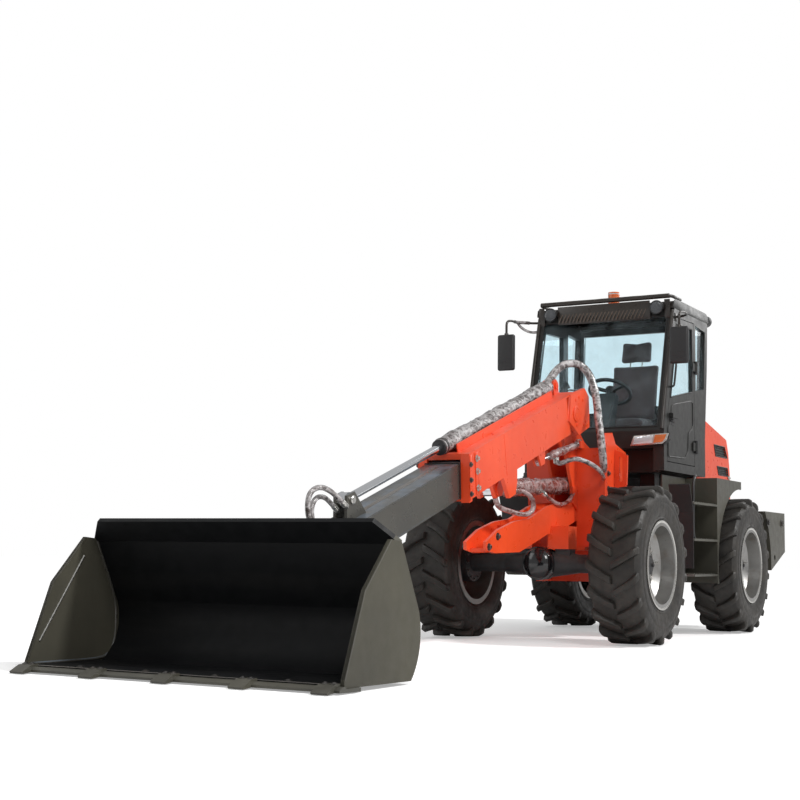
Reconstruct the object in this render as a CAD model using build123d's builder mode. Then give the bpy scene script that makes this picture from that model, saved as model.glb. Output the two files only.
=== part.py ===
"""Articulated telescopic wheel loader with a wide earth bucket, about 8.2 m long.

Millimetres, +Z up. The machine faces -Y and +X is its left. The origin is on the ground, under the
middle of the machine's length. Every part is placed from the axle, pivot and pin positions below.
"""

import os
from math import cos, hypot, radians, sin

from build123d import *

os.makedirs("parts", exist_ok=True)

# ---- driving dimensions -------------------------------------------------------------------------
RUNNING = 0.05  # radial clearance of a shaft or rod in its bore
SEAT_GAP = 0.4  # clearance between an eye and the ears that hold it
PLATE = 25  # thick frame plate

FRONT_AXLE_Y = 540  # front axle, behind the origin
AXLE_TO_PIVOT = 1185  # front axle to the articulation pivot
PIVOT_TO_AXLE = 1185  # articulation pivot to the rear axle
PIVOT_Y = FRONT_AXLE_Y + AXLE_TO_PIVOT
REAR_AXLE_Y = PIVOT_Y + PIVOT_TO_AXLE

TYRE_RADIUS = 587.5
TYRE_WIDTH = 405
RIM_RADIUS = 327.5  # rim flange
WHEEL_CENTRE_X = 757
AXLE_Z = TYRE_RADIUS

BOOM_SLOPE = 18.43  # degrees below the horizontal, falling towards the front
BOOM_PIVOT_Y = FRONT_AXLE_Y + 170
BOOM_PIVOT_Z = 1748
BOOM_HALF_WIDTH = 180
BOOM_BOTTOM = -132  # under the line through the boom's pivot
BOOM_TOP = 165
BOOM_WALL = 12
BOOM_FRONT = 1890  # pivot to the front of the outer boom, along it

INNER_HALF_WIDTH = 125
INNER_BOTTOM = -112
INNER_TOP = 116
INNER_WALL = 10
INNER_REAR = 1350
INNER_FRONT = 3700

# ---- shared shapes ------------------------------------------------------------------------------


def fa(y):
    """Gives a place behind (+) or in front of (-) the front axle."""
    return FRONT_AXLE_Y + y


def ra(y):
    """Gives a place behind (+) or in front of (-) the rear axle."""
    return REAR_AXLE_Y + y


def block(x_low, x_high, y_low, y_high, z_low, z_high, mode=Mode.ADD):
    """Adds a box between two corners to the part being built."""
    with Locations(((x_low + x_high) / 2, (y_low + y_high) / 2, (z_low + z_high) / 2)):
        Box(x_high - x_low, y_high - y_low, z_high - z_low, mode=mode)


def side_plate(outline, x_low, x_high, mode=Mode.ADD, radius=0):
    """Adds a plate across X whose outline is a loop of (y, z) corners."""
    with BuildSketch(Plane.YZ.offset(x_low)) as profile:
        with BuildLine():
            if radius:
                FilletPolyline(*outline, radius=radius, close=True)
            else:
                Polyline(*outline, close=True)
        make_face()
    extrude(profile.sketch, amount=x_high - x_low, mode=mode)


def front_plate(outline, y_front, y_rear, mode=Mode.ADD):
    """Adds a plate across Y whose outline is a loop of (x, z) corners."""
    with BuildSketch(Plane.XZ.offset(-y_front)) as profile:
        with BuildLine():
            Polyline(*outline, close=True)
        make_face()
    extrude(profile.sketch, amount=y_front - y_rear, mode=mode)


def side_disc(y, z, radius, x_low, x_high, mode=Mode.ADD):
    """Adds a round bar along X."""
    with BuildSketch(Plane.YZ.offset(x_low)) as profile:
        with Locations((y, z)):
            Circle(radius)
    extrude(profile.sketch, amount=x_high - x_low, mode=mode)


def post(x, y, radius, z_low, z_high, mode=Mode.ADD):
    """Adds an upright round bar."""
    with BuildSketch(Plane.XY.offset(z_low)) as profile:
        with Locations((x, y)):
            Circle(radius)
    extrude(profile.sketch, amount=z_high - z_low, mode=mode)


def tube(points, radius, bend):
    """Adds a round tube along straight runs joined by arcs."""
    with BuildLine() as route:
        FilletPolyline(*points, radius=bend)
    with BuildSketch(Plane(origin=route.line @ 0, z_dir=route.line % 0)) as section:
        Circle(radius)
    sweep(section.sketch, path=route.line)


# The boom's own directions: "along" runs forward and down it from its pivot, "over" stands up from it.
BOOM_COS, BOOM_SIN = cos(radians(BOOM_SLOPE)), sin(radians(BOOM_SLOPE))


def on_boom(along, over):
    """Turns a place on the boom into (y, z)."""
    return (
        BOOM_PIVOT_Y - along * BOOM_COS - over * BOOM_SIN,
        BOOM_PIVOT_Z - along * BOOM_SIN + over * BOOM_COS,
    )


def boom_plate(outline, x_low, x_high, mode=Mode.ADD):
    """Adds a plate across X whose outline is a loop of (along, over) corners on the boom."""
    side_plate([on_boom(*corner) for corner in outline], x_low, x_high, mode)


def across(side, inner, outer):
    """Gives the low and high x of a range on one side, from its distances off the centre plane."""
    return sorted((side * inner, side * outer))


def boom_box(x_low, x_high, along_low, along_high, over_low, over_high, mode=Mode.ADD):
    """Adds a box that lies along the boom."""
    corners = [
        (along_low, over_low), (along_high, over_low), (along_high, over_high), (along_low, over_high),
    ]
    boom_plate(corners, x_low, x_high, mode)


def boom_disc(along, over, radius, x_low, x_high, mode=Mode.ADD):
    """Adds a round bar along X at a place on the boom."""
    side_disc(*on_boom(along, over), radius, x_low, x_high, mode)


# ---- hydraulic cylinders ------------------------------------------------------------------------
EYE_WALL = 18
PISTON_LENGTH = 50
GLAND_LENGTH = 50
NECK = 14  # from the barrel's eye to its tube


def eye(flat, place, radius, width, mode=Mode.ADD):
    """Adds a disc centred on a place in the plane the cylinder swings in."""
    with BuildSketch(flat.offset(-width / 2)) as profile:
        with Locations(place):
            Circle(radius)
    extrude(profile.sketch, amount=width, mode=mode)


def cylinder(label, flat, base, tip, bore, wall, rod, barrel_length, inside, pin, eye_width):
    """Builds and writes a cylinder's barrel and rod, which swing in the plane `flat`.

    base and tip are the pins' places in that plane. The rod reaches `inside` mm into the barrel.
    The barrel's eye turns on a pin; the rod's eye closes on a stub that sits between its two ears.
    """
    start = flat.from_local_coords((base[0], base[1], 0))
    end = flat.from_local_coords((tip[0], tip[1], 0))
    reach = (end - start).length
    line = (end - start).normalized()

    def across(distance):
        return Plane(origin=start + line * distance, x_dir=flat.z_dir, z_dir=line)

    eye_radius = pin + EYE_WALL
    tube_start = eye_radius + NECK
    with BuildPart() as barrel:
        with BuildSketch(across(0)):
            Circle(eye_width / 2 - 2)
        extrude(amount=tube_start + 5)
        with BuildSketch(across(tube_start)):
            Circle(bore + wall)
        extrude(amount=barrel_length - tube_start)
        eye(flat, base, eye_radius, eye_width)
        with BuildSketch(across(tube_start + wall)):
            Circle(bore)
        extrude(amount=barrel_length - tube_start - wall - GLAND_LENGTH, mode=Mode.SUBTRACT)
        with BuildSketch(across(barrel_length - 2 * GLAND_LENGTH)):
            Circle(rod + RUNNING)
        extrude(amount=3 * GLAND_LENGTH, mode=Mode.SUBTRACT)
        eye(flat, base, pin + RUNNING, 3 * eye_width, mode=Mode.SUBTRACT)
    with BuildPart() as shaft:
        with BuildSketch(across(barrel_length - inside)):
            Circle(rod)
        extrude(amount=reach - barrel_length + inside)
        with BuildSketch(across(barrel_length - inside)):
            Circle(bore - RUNNING)
        extrude(amount=PISTON_LENGTH)
        eye(flat, tip, eye_radius, eye_width)
    barrel.part.label = f"{label}_barrel"
    shaft.part.label = f"{label}_rod"
    export_step(barrel.part, f"parts/{label}_barrel.step")
    export_step(shaft.part, f"parts/{label}_rod.step")


# ---- wheels -------------------------------------------------------------------------------------
LUGS_A_SIDE = 18
LUG_HEIGHT = 36
LUG_WIDTH = 46  # round the tyre
LUG_LEAD = 105  # how far a lug's outer end leads its inner one
BEAD_RADIUS = 300
RIM_HALF_WIDTH = 184
HUB_BORE = 70
DISC_INSIDE = 20  # disc's inner face, outboard of the wheel's centre plane
DISC_WALL = 14


def wheel_plane(side, centre):
    """A plane through the wheel's axis: its x runs outboard and its y runs up."""
    return Plane(origin=centre, x_dir=(side, 0, 0), z_dir=(0, -side, 0))


def build_tyre():
    """Builds a tyre about the X axis, with two rows of slanted lugs that meet in a V."""
    half = TYRE_WIDTH / 2
    tread = TYRE_RADIUS - LUG_HEIGHT
    carcass = [
        (RIM_HALF_WIDTH - 8, BEAD_RADIUS),
        (RIM_HALF_WIDTH - 8, RIM_RADIUS),
        (half, RIM_RADIUS + 105),
        (half - 6, tread - 45),
        (half - 42, tread - 4),
        (0, tread),
    ]
    mirrored = [(-a, r) for a, r in reversed(carcass[:-1])]
    step = 360 / LUGS_A_SIDE
    with BuildPart() as tyre:
        with BuildSketch(wheel_plane(1, (0, 0, 0))):
            with BuildLine():
                Polyline(*carcass, *mirrored, close=True)
            make_face()
        revolve(axis=Axis.X)
        for row in (-1, 1):
            lug = [(6, -LUG_WIDTH / 2), (half - 12, LUG_LEAD - LUG_WIDTH / 2 + 8)]
            lug += [(half - 12, LUG_LEAD + LUG_WIDTH / 2), (6, LUG_WIDTH / 2)]
            outline = [(row * a, c - LUG_LEAD / 2) for a, c in lug]
            top = (TYRE_RADIUS**2 - (LUG_LEAD / 2 + LUG_WIDTH / 2) ** 2) ** 0.5
            for k in range(LUGS_A_SIDE):
                angle = radians(step * (k + 0.25 * row))
                out = Vector(0, -cos(angle), sin(angle))
                with BuildSketch(Plane(origin=out * (tread - 30), x_dir=(1, 0, 0), z_dir=out)):
                    with BuildLine():
                        Polyline(*[(a, -c) for a, c in outline], close=True)
                    make_face()
                extrude(amount=top - tread + 30)
    return tyre.part


def build_rim(side, centre):
    """Builds a rim: two flanges, a well, a dished disc and a hub bore."""
    rim_profile = [
        (RIM_HALF_WIDTH - 7.5, BEAD_RADIUS - 0.3),
        (RIM_HALF_WIDTH - 7.5, RIM_RADIUS),
        (RIM_HALF_WIDTH, RIM_RADIUS),
        (RIM_HALF_WIDTH + 4, RIM_RADIUS - 12),
        (RIM_HALF_WIDTH + 4, BEAD_RADIUS - 12),
        (DISC_INSIDE + 60, BEAD_RADIUS - 22),
        (DISC_INSIDE + DISC_WALL, BEAD_RADIUS - 70),
        (DISC_INSIDE + DISC_WALL, HUB_BORE + 70),
        (DISC_INSIDE + 45, HUB_BORE + 60),
        (DISC_INSIDE + 45, HUB_BORE),
        (DISC_INSIDE, HUB_BORE),
        (DISC_INSIDE, BEAD_RADIUS - 22),
        (-RIM_HALF_WIDTH, BEAD_RADIUS - 12),
        (-RIM_HALF_WIDTH, RIM_RADIUS),
        (7.5 - RIM_HALF_WIDTH, RIM_RADIUS),
        (7.5 - RIM_HALF_WIDTH, BEAD_RADIUS - 0.3),
    ]
    with BuildPart() as rim:
        with BuildSketch(wheel_plane(side, centre)):
            with BuildLine():
                Polyline(*rim_profile, close=True)
            make_face()
        revolve(axis=Axis(centre, (1, 0, 0)))
    return rim.part


tyre_part = build_tyre()
# name, side (+1 is left), axle's place along the machine
WHEELS = [
    ("front_left", 1, FRONT_AXLE_Y),
    ("front_right", -1, FRONT_AXLE_Y),
    ("rear_left", 1, REAR_AXLE_Y),
    ("rear_right", -1, REAR_AXLE_Y),
]
for wheel_name, wheel_side, axle_y in WHEELS:
    wheel_centre = (wheel_side * WHEEL_CENTRE_X, axle_y, AXLE_Z)
    tyre = tyre_part.moved(Location(wheel_centre))
    tyre.label = f"tyre_{wheel_name}"
    export_step(tyre, f"parts/tyre_{wheel_name}.step")
    rim = build_rim(wheel_side, wheel_centre)
    rim.label = f"rim_{wheel_name}"
    export_step(rim, f"parts/rim_{wheel_name}.step")

# ---- axles --------------------------------------------------------------------------------------
DIFF_RADIUS = 125
AXLE_TUBE_RADIUS = 70
HUB_DRUM_RADIUS = 150
HUB_DRUM_LENGTH = 180
BALL_FLANK = 70  # where the ball meets its tapered tubes
BALL_FLANK_RADIUS = (DIFF_RADIUS**2 - BALL_FLANK**2) ** 0.5
AXLE_PAD_X = 175  # middle of the pads the frame sits on
AXLE_PAD_TOP = AXLE_Z + 110


def build_axle(axle_y, input_side):
    """Builds an axle: a ball with an input nose, tapered tubes, planet hubs and wheel spigots."""
    drum_end = WHEEL_CENTRE_X + DISC_INSIDE - SEAT_GAP
    # distance out from the middle, radius
    arm = [
        (BALL_FLANK, BALL_FLANK_RADIUS), (300, AXLE_TUBE_RADIUS), (
            drum_end - HUB_DRUM_LENGTH, AXLE_TUBE_RADIUS,
        ),
        (drum_end - HUB_DRUM_LENGTH, HUB_DRUM_RADIUS), (drum_end, HUB_DRUM_RADIUS), (
            drum_end, HUB_BORE - RUNNING,
        ),
        (drum_end + 75, HUB_BORE - RUNNING), (drum_end + 75, 0),
    ]
    far_arm = [(-x, radius) for x, radius in reversed(arm)]
    middle = Plane(origin=(0, axle_y, AXLE_Z), x_dir=(1, 0, 0), z_dir=(0, -1, 0))
    nose = Plane(origin=(0, axle_y, AXLE_Z), x_dir=(1, 0, 0), z_dir=(0, input_side, 0))
    with BuildPart() as axle:
        with BuildSketch(middle) as half_section:
            with BuildLine():
                Polyline(*far_arm)
                ThreePointArc(far_arm[-1], (0, DIFF_RADIUS), arm[0])
                Polyline(*arm)
                Line(arm[-1], far_arm[0])
            make_face()
        revolve(half_section.sketch, axis=Axis((0, axle_y, AXLE_Z), (1, 0, 0)))
        with BuildSketch(nose) as gear_case:
            Circle(80)
        extrude(gear_case.sketch, amount=215)
        with BuildSketch(nose.offset(214)) as flange:
            Circle(55)
        extrude(flange.sketch, amount=26)
        for side in (-1, 1):
            low, high = across(side, AXLE_PAD_X - 60, AXLE_PAD_X + 60)
            block(low, high, axle_y - 55, axle_y + 55, AXLE_Z, AXLE_PAD_TOP)
    return axle.part


front_axle = build_axle(FRONT_AXLE_Y, 1)
front_axle.label = "front_axle"
export_step(front_axle, "parts/front_axle.step")
rear_axle = build_axle(REAR_AXLE_Y, -1)
rear_axle.label = "rear_axle"
export_step(rear_axle, "parts/rear_axle.step")

# ---- front frame --------------------------------------------------------------------------------
WEB_X = 65  # inner face of the two main webs
PIVOT_PIN = 40
EAR_RADIUS = 95
TOWER_X = 330  # outer face of the tower's side plates
YOKE_TOP_Z = 950  # middle of the upper articulation plates
YOKE_LOW_Z = 470
YOKE_PLATE = 30
YOKE_RADIUS = 95
YOKE_PIN = 38
LIFT_PIN = 35
LIFT_BASE = (fa(637), 1228)
LIFT_EYE_WIDTH = 90
LEVEL_PIN = 22
LEVEL_X = 125
LEVEL_BASE = (fa(394), 1531)
LEVEL_EYE_WIDTH = 30
STEER_Z = 560
STEER_PIN = 22
STEER_EYE_WIDTH = 40
STEER_TIP = (235, PIVOT_Y - 165)
STEER_BASE = (165, PIVOT_Y + 470)

with BuildPart() as front_frame:
    web = [
        (fa(-1195), 680), (fa(-1200), 734), (fa(-1005), 823), (fa(-740), 887), (fa(-471), 916),
        (fa(-132), 1019), (fa(-15), 1043), (fa(351), 1069), (fa(351), 1181), (fa(110), BOOM_PIVOT_Z - 75),
        (fa(90), BOOM_PIVOT_Z), (BOOM_PIVOT_Y, BOOM_PIVOT_Z + 90), (fa(230), BOOM_PIVOT_Z + 60),
        (fa(600), 1560), (fa(860), 1470), (fa(918), 1099), (fa(827), 970), (fa(627), 965),
        (fa(457), 935), (fa(126), 839), (fa(-131), 810), (fa(-359), 746), (fa(-649), 668), (fa(-1061), 657),
    ]
    side_plate(web, WEB_X, WEB_X + PLATE)
    side_disc(BOOM_PIVOT_Y, BOOM_PIVOT_Z, EAR_RADIUS, WEB_X, WEB_X + PLATE + 3)
    cheek = [
        (fa(330), 1060), (fa(330), 1190), (fa(880), 1236), (fa(912), 1099), (fa(825), 990), (fa(500), 960),
    ]
    side_plate(cheek, WEB_X + PLATE, WEB_X + PLATE + 12)
    tower = [
        (fa(430), 900), (fa(430), 1616), (fa(595), 1631), (fa(665), 1546), (fa(900), 1490), (fa(930), 1300),
        (fa(870), 900), (fa(870), 440), (fa(600), 440), (fa(430), 640),
    ]
    side_plate(tower, TOWER_X - PLATE, TOWER_X)
    wing = [(TOWER_X, 1500), (440, 1450), (432, 1215), (TOWER_X, 1150)]
    front_plate(wing, fa(640), fa(660))
    with BuildSketch(Plane.XZ.offset(-fa(630))):
        with Locations((383, 1340)):
            SlotOverall(200, 26, rotation=90)
    extrude(amount=-40, mode=Mode.SUBTRACT)
    # floor, rear wall and shelf plates that tie the webs to the tower
    block(0, TOWER_X - PLATE, fa(850), fa(870), 440, 1300)
    block(0, TOWER_X - PLATE, fa(430), fa(860), 690, 715)
    block(WEB_X + PLATE, TOWER_X - PLATE, fa(430), fa(450), 715, 1500)
    block(0, WEB_X, fa(-1150), fa(-1050), 665, 690)
    block(0, WEB_X, fa(-700), fa(-680), 700, 860)
    block(0, WEB_X, fa(-60), fa(-40), 850, 1000)
    block(WEB_X, AXLE_PAD_X + 60, fa(-80), fa(80), AXLE_PAD_TOP, 870)
    block(WEB_X, TOWER_X - PLATE, fa(80), fa(430), 690, 715)
    # rounded articulation plates behind the rear wall
    for plate_z in (YOKE_TOP_Z, YOKE_LOW_Z):
        block(0, 220, fa(860), PIVOT_Y - 60, plate_z - YOKE_PLATE / 2, plate_z + YOKE_PLATE / 2)
        block(0, YOKE_RADIUS, PIVOT_Y - 70, PIVOT_Y, plate_z - YOKE_PLATE / 2, plate_z + YOKE_PLATE / 2)
        post(0, PIVOT_Y, YOKE_RADIUS, plate_z - YOKE_PLATE / 2, plate_z + YOKE_PLATE / 2)
    # ears for the steering rods
    for ear_z in (STEER_Z - STEER_EYE_WIDTH / 2 - SEAT_GAP, STEER_Z + STEER_EYE_WIDTH / 2 + SEAT_GAP + 20):
        block(STEER_TIP[0] - 50, STEER_TIP[0] + 50, fa(860), STEER_TIP[1] + 35, ear_z - 20, ear_z)
    # ears that carry the levelling cylinder
    level_ear = [
        (LEVEL_BASE[0] - 35, LEVEL_BASE[1] + 25), (LEVEL_BASE[0] + 35, LEVEL_BASE[1] + 25),
        (LEVEL_BASE[0] + 40, LEVEL_BASE[1] - 30), (LEVEL_BASE[0] - 30, LEVEL_BASE[1] - 35),
    ]
    level_half = LEVEL_EYE_WIDTH / 2 + SEAT_GAP
    side_plate(level_ear, WEB_X + PLATE, LEVEL_X - level_half)
    side_plate(level_ear, LEVEL_X + level_half, LEVEL_X + level_half + 12)
    side_disc(*LEVEL_BASE, LEVEL_PIN, WEB_X + PLATE, LEVEL_X + level_half + 12)
    mirror(about=Plane.YZ)
    side_disc(BOOM_PIVOT_Y, BOOM_PIVOT_Z, PIVOT_PIN, -205, 205)
    side_disc(*LIFT_BASE, LIFT_PIN, -WEB_X - 20, WEB_X + 20)
    for plate_z in (YOKE_TOP_Z, YOKE_LOW_Z):
        post(0, PIVOT_Y, YOKE_PIN + RUNNING, plate_z - YOKE_PLATE, plate_z + YOKE_PLATE, mode=Mode.SUBTRACT)
front_frame.part.label = "front_frame"
export_step(front_frame.part, "parts/front_frame.step")

# ---- outer boom and its extension cylinder ------------------------------------------------------
SIDE_PLATE_INNER = 162  # inner face of the rear plates that carry the boom's pivot
BOOM_REAR = 120
CYLINDER_SLOT = 68  # half width of the slot over the lift cylinder
LIFT_TIP = (1281, -241)  # along and over the boom
LEVEL_TIP = (652, -204)
EXTEND_OVER = 231  # height of the extension cylinder's axis over the boom's line
EXTEND_REAR = -9
EXTEND_EYE = 3195
EXTEND_PIN = 28
EXTEND_BORE = 45
EXTEND_WALL = 10
EXTEND_ROD = 26
EXTEND_BARREL = 1940
EXTEND_EYE_WIDTH = 60

with BuildPart() as outer_boom:
    front_edge = [
        (BOOM_REAR, BOOM_BOTTOM), (BOOM_FRONT + 90, BOOM_BOTTOM), (BOOM_FRONT, BOOM_TOP), (
            BOOM_REAR, BOOM_TOP,
        ),
    ]
    boom_plate(front_edge, -BOOM_HALF_WIDTH, BOOM_HALF_WIDTH)
    boom_box(
        BOOM_WALL - BOOM_HALF_WIDTH, BOOM_HALF_WIDTH - BOOM_WALL, -400, BOOM_FRONT + 400,
        BOOM_BOTTOM + BOOM_WALL, BOOM_TOP - BOOM_WALL, mode=Mode.SUBTRACT,
    )
    for side in (-1, 1):
        low, high = across(side, SIDE_PLATE_INNER, BOOM_HALF_WIDTH + 14)
        rear_plate = [(150, -23), (60, BOOM_TOP), (-235, 155), (-300, 71), (-240, -162), (-10, -171)]
        boom_plate(rear_plate, low, high)
        # stepped collar that closes the box down to the inner boom
        low, high = across(side, INNER_HALF_WIDTH + 3, BOOM_HALF_WIDTH + 12)
        collar = [
            (BOOM_FRONT + 50, BOOM_BOTTOM - 10), (BOOM_FRONT + 92, BOOM_BOTTOM - 10),
            (BOOM_FRONT + 4, BOOM_TOP + 8), (BOOM_FRONT - 38, BOOM_TOP + 8),
        ]
        boom_plate(collar, low, high)
        # brackets under the box: lift pin, levelling pin
        low, high = across(side, LIFT_EYE_WIDTH / 2 + SEAT_GAP, LIFT_EYE_WIDTH / 2 + SEAT_GAP + 30)
        lift_ear = [
            (1400, BOOM_BOTTOM + 2), (1345, -294), (1240, -294), (1190, -220), (1160, BOOM_BOTTOM + 2),
        ]
        boom_plate(lift_ear, low, high)
        boom_disc(*LIFT_TIP, 52, low, high + (10 if side > 0 else 0))
        low, high = across(side, 150, BOOM_HALF_WIDTH)
        boom_plate(lift_ear, low, high)
        # plates that flank the extension cylinder
        low, high = across(side, EXTEND_BORE + EXTEND_WALL + 15, EXTEND_BORE + EXTEND_WALL + 23)
        boom_box(low, high, 150, BOOM_FRONT - 60, BOOM_TOP - 1, BOOM_TOP + 60)
        low, high = across(side, EXTEND_EYE_WIDTH / 2 + SEAT_GAP, EXTEND_EYE_WIDTH / 2 + SEAT_GAP + 18)
        rear_ear = [(40, BOOM_TOP - 12), (40, 240), (15, 275), (-30, 278), (-56, 245), (-50, BOOM_TOP - 12)]
        boom_plate(rear_ear, low, high)
    boom_box(
        -BOOM_HALF_WIDTH, BOOM_HALF_WIDTH, BOOM_FRONT - 38, BOOM_FRONT + 4, BOOM_TOP - BOOM_WALL - 20,
        BOOM_TOP + 8,
    )
    boom_box(-BOOM_HALF_WIDTH, BOOM_HALF_WIDTH, -60, BOOM_REAR + 5, BOOM_TOP - BOOM_WALL, BOOM_TOP)
    # openings in the box's floor that the raised lift and levelling cylinders swing into
    for half_width, reach in ((SIDE_PLATE_INNER - 2, 480), (CYLINDER_SLOT, 700)):
        boom_box(
            -half_width, half_width, -400, reach, BOOM_BOTTOM - 1, BOOM_BOTTOM + BOOM_WALL + 1,
            mode=Mode.SUBTRACT,
        )
    for inner in (LEVEL_X - LEVEL_EYE_WIDTH / 2 - SEAT_GAP - 15, LEVEL_X + LEVEL_EYE_WIDTH / 2 + SEAT_GAP):
        level_ear = [(720, BOOM_BOTTOM + 2), (690, -235), (620, -235), (580, BOOM_BOTTOM + 2)]
        boom_plate(level_ear, inner, inner + 15)
    boom_disc(EXTEND_REAR, EXTEND_OVER, EXTEND_PIN, -60, 60)
    boom_disc(0, 0, PIVOT_PIN + RUNNING, -250, 250, mode=Mode.SUBTRACT)
outer_boom.part.label = "outer_boom"
export_step(outer_boom.part, "parts/outer_boom.step")

cylinder(
    "extension", Plane.YZ, on_boom(EXTEND_REAR, EXTEND_OVER), on_boom(EXTEND_EYE, EXTEND_OVER),
    EXTEND_BORE, EXTEND_WALL, EXTEND_ROD, EXTEND_BARREL, 650, EXTEND_PIN, EXTEND_EYE_WIDTH,
)

# ---- inner boom ---------------------------------------------------------------------------------
HEAD_PIVOT = (fa(-3685), 300)  # bucket pivot, (y, z)
HEAD_PIN = 32
HEAD_PLATE = 22
HEAD_PLATE_INNER = 95
TILT_BASE = on_boom(3250, -40)
TILT_TIP = (fa(-3703), 509)
TILT_PIN = 28
TILT_EYE_WIDTH = 60

with BuildPart() as inner_boom:
    boom_box(-INNER_HALF_WIDTH, INNER_HALF_WIDTH, INNER_REAR, INNER_FRONT, INNER_BOTTOM, INNER_TOP)
    boom_box(
        INNER_WALL - INNER_HALF_WIDTH, INNER_HALF_WIDTH - INNER_WALL, INNER_REAR - 1, INNER_FRONT + 1,
        INNER_BOTTOM + INNER_WALL, INNER_TOP - INNER_WALL, mode=Mode.SUBTRACT,
    )
    for side in (-1, 1):
        low, high = across(side, HEAD_PLATE_INNER, INNER_HALF_WIDTH - INNER_WALL + 2)
        top_front = on_boom(INNER_FRONT, INNER_TOP - INNER_WALL - 1)
        top_rear = on_boom(INNER_FRONT - 350, INNER_TOP - INNER_WALL - 1)
        low_rear = on_boom(INNER_FRONT - 350, INNER_BOTTOM + INNER_WALL + 1)
        low_front = on_boom(INNER_FRONT - 40, INNER_BOTTOM + INNER_WALL + 1)
        head = [
            top_rear, top_front, (HEAD_PIVOT[0] - 20, HEAD_PIVOT[1] + 60), (
                HEAD_PIVOT[0] - 60, HEAD_PIVOT[1],
            ),
            (HEAD_PIVOT[0] - 30, HEAD_PIVOT[1] - 60), (HEAD_PIVOT[0] + 40, HEAD_PIVOT[1] - 60),
            low_front, low_rear,
        ]
        side_plate(head, low, high)
        low, high = across(side, EXTEND_EYE_WIDTH / 2 + SEAT_GAP, EXTEND_EYE_WIDTH / 2 + SEAT_GAP + 18)
        boom_plate([(3060, INNER_TOP - 2), (3150, 270), (3240, 270), (3290, INNER_TOP - 2)], low, high)
    # opening in the tube's top for the tilt cylinder
    boom_box(
        -62, 62, INNER_FRONT - 330, INNER_FRONT + 1, INNER_TOP - INNER_WALL - 1, INNER_TOP + 1,
        mode=Mode.SUBTRACT,
    )
    side_disc(*TILT_BASE, TILT_PIN, 2 - INNER_HALF_WIDTH, INNER_HALF_WIDTH - 2)
    for side in (-1, 1):
        low, high = across(side, TILT_EYE_WIDTH / 2 + SEAT_GAP, INNER_HALF_WIDTH - INNER_WALL + 2)
        side_disc(*TILT_BASE, TILT_PIN + 14, low, high)
    side_disc(*HEAD_PIVOT, HEAD_PIN, -180, 180)
inner_boom.part.label = "inner_boom"
export_step(inner_boom.part, "parts/inner_boom.step")

# ---- bucket, cutting edge and coupler -----------------------------------------------------------
LIP_Y = fa(-4514)
BUCKET_HALF_WIDTH = 984
BUCKET_WALL = 14
BUCKET_SIDE = 20
SPILL_HALF_WIDTH = 879
TEETH = 5
TOOTH_REACH = 125


def at_lip(points):
    """Turns (behind the lip, height) corners into (y, z) corners."""
    return [(LIP_Y + back, height) for back, height in points]


with BuildPart() as bucket:
    outer = at_lip([(0, 24), (633, 16), (705, 363), (521, 704)])
    # curved back: a floor, a belly arc and a straight upper back
    with BuildSketch(Plane.YZ.offset(-BUCKET_HALF_WIDTH)) as wall:
        with BuildLine():
            start, corner, belly, top = outer
            Line(start, corner)
            ThreePointArc(corner, (LIP_Y + 722, 190), belly)
            Line(belly, top)
            inner_top = (top[0] - BUCKET_WALL, top[1] - 4)
            inner_belly = (belly[0] - BUCKET_WALL, belly[1] - 2)
            inner_corner = (corner[0] - 60, corner[1] + BUCKET_WALL + 4)
            Line(top, inner_top)
            Line(inner_top, inner_belly)
            ThreePointArc(inner_belly, (LIP_Y + 690, 160), inner_corner)
            Line(inner_corner, (start[0], start[1] + 14))
            Line((start[0], start[1] + 14), start)
        make_face()
    extrude(wall.sketch, amount=2 * BUCKET_HALF_WIDTH)
    cheek_outline = at_lip(
        [(0, 24), (0, 60), (171, 469), (414, 713), (521, 704), (705, 363), (716, 190), (633, 16)]
    )
    for side in (-1, 1):
        low, high = across(side, BUCKET_HALF_WIDTH - BUCKET_SIDE, BUCKET_HALF_WIDTH)
        side_plate(cheek_outline, low, high)
    # spill plate above the back, narrower at its top
    spill = Plane(
        origin=(0, LIP_Y + 514, 700), x_dir=(1, 0, 0),
        z_dir=Vector(1, 0, 0).cross(Vector(0, -97, 106.5).normalized()),
    )
    spill_height = hypot(97, 106.5)
    with BuildSketch(spill) as spill_face:
        with BuildLine():
            Polyline(
                (-BUCKET_HALF_WIDTH, 0), (BUCKET_HALF_WIDTH, 0), (SPILL_HALF_WIDTH, spill_height),
                (-SPILL_HALF_WIDTH, spill_height), close=True,
            )
        make_face()
    extrude(spill_face.sketch, amount=BUCKET_WALL, both=True)
bucket.part.label = "bucket"
export_step(bucket.part, "parts/bucket.step")

with BuildPart() as teeth:
    edge = at_lip([(-60, 20), (-60, 8), (130, 2), (130, 22), (0, 23.6), (-8, 34), (-40, 34)])
    side_plate(edge, -BUCKET_HALF_WIDTH - 12, BUCKET_HALF_WIDTH + 12)
    pitch = 2 * (BUCKET_HALF_WIDTH - 60) / (TEETH - 1)
    for k in range(TEETH):
        middle = (k - (TEETH - 1) / 2) * pitch
        adapter = at_lip(
            [(-TOOTH_REACH, 12), (-60, 44), (-10, 48), (-10, 22), (-60, 8), (-TOOTH_REACH + 5, 2)]
        )
        side_plate(adapter, middle - 45, middle + 45)
teeth.part.label = "bucket_teeth"
export_step(teeth.part, "parts/bucket_teeth.step")

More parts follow.
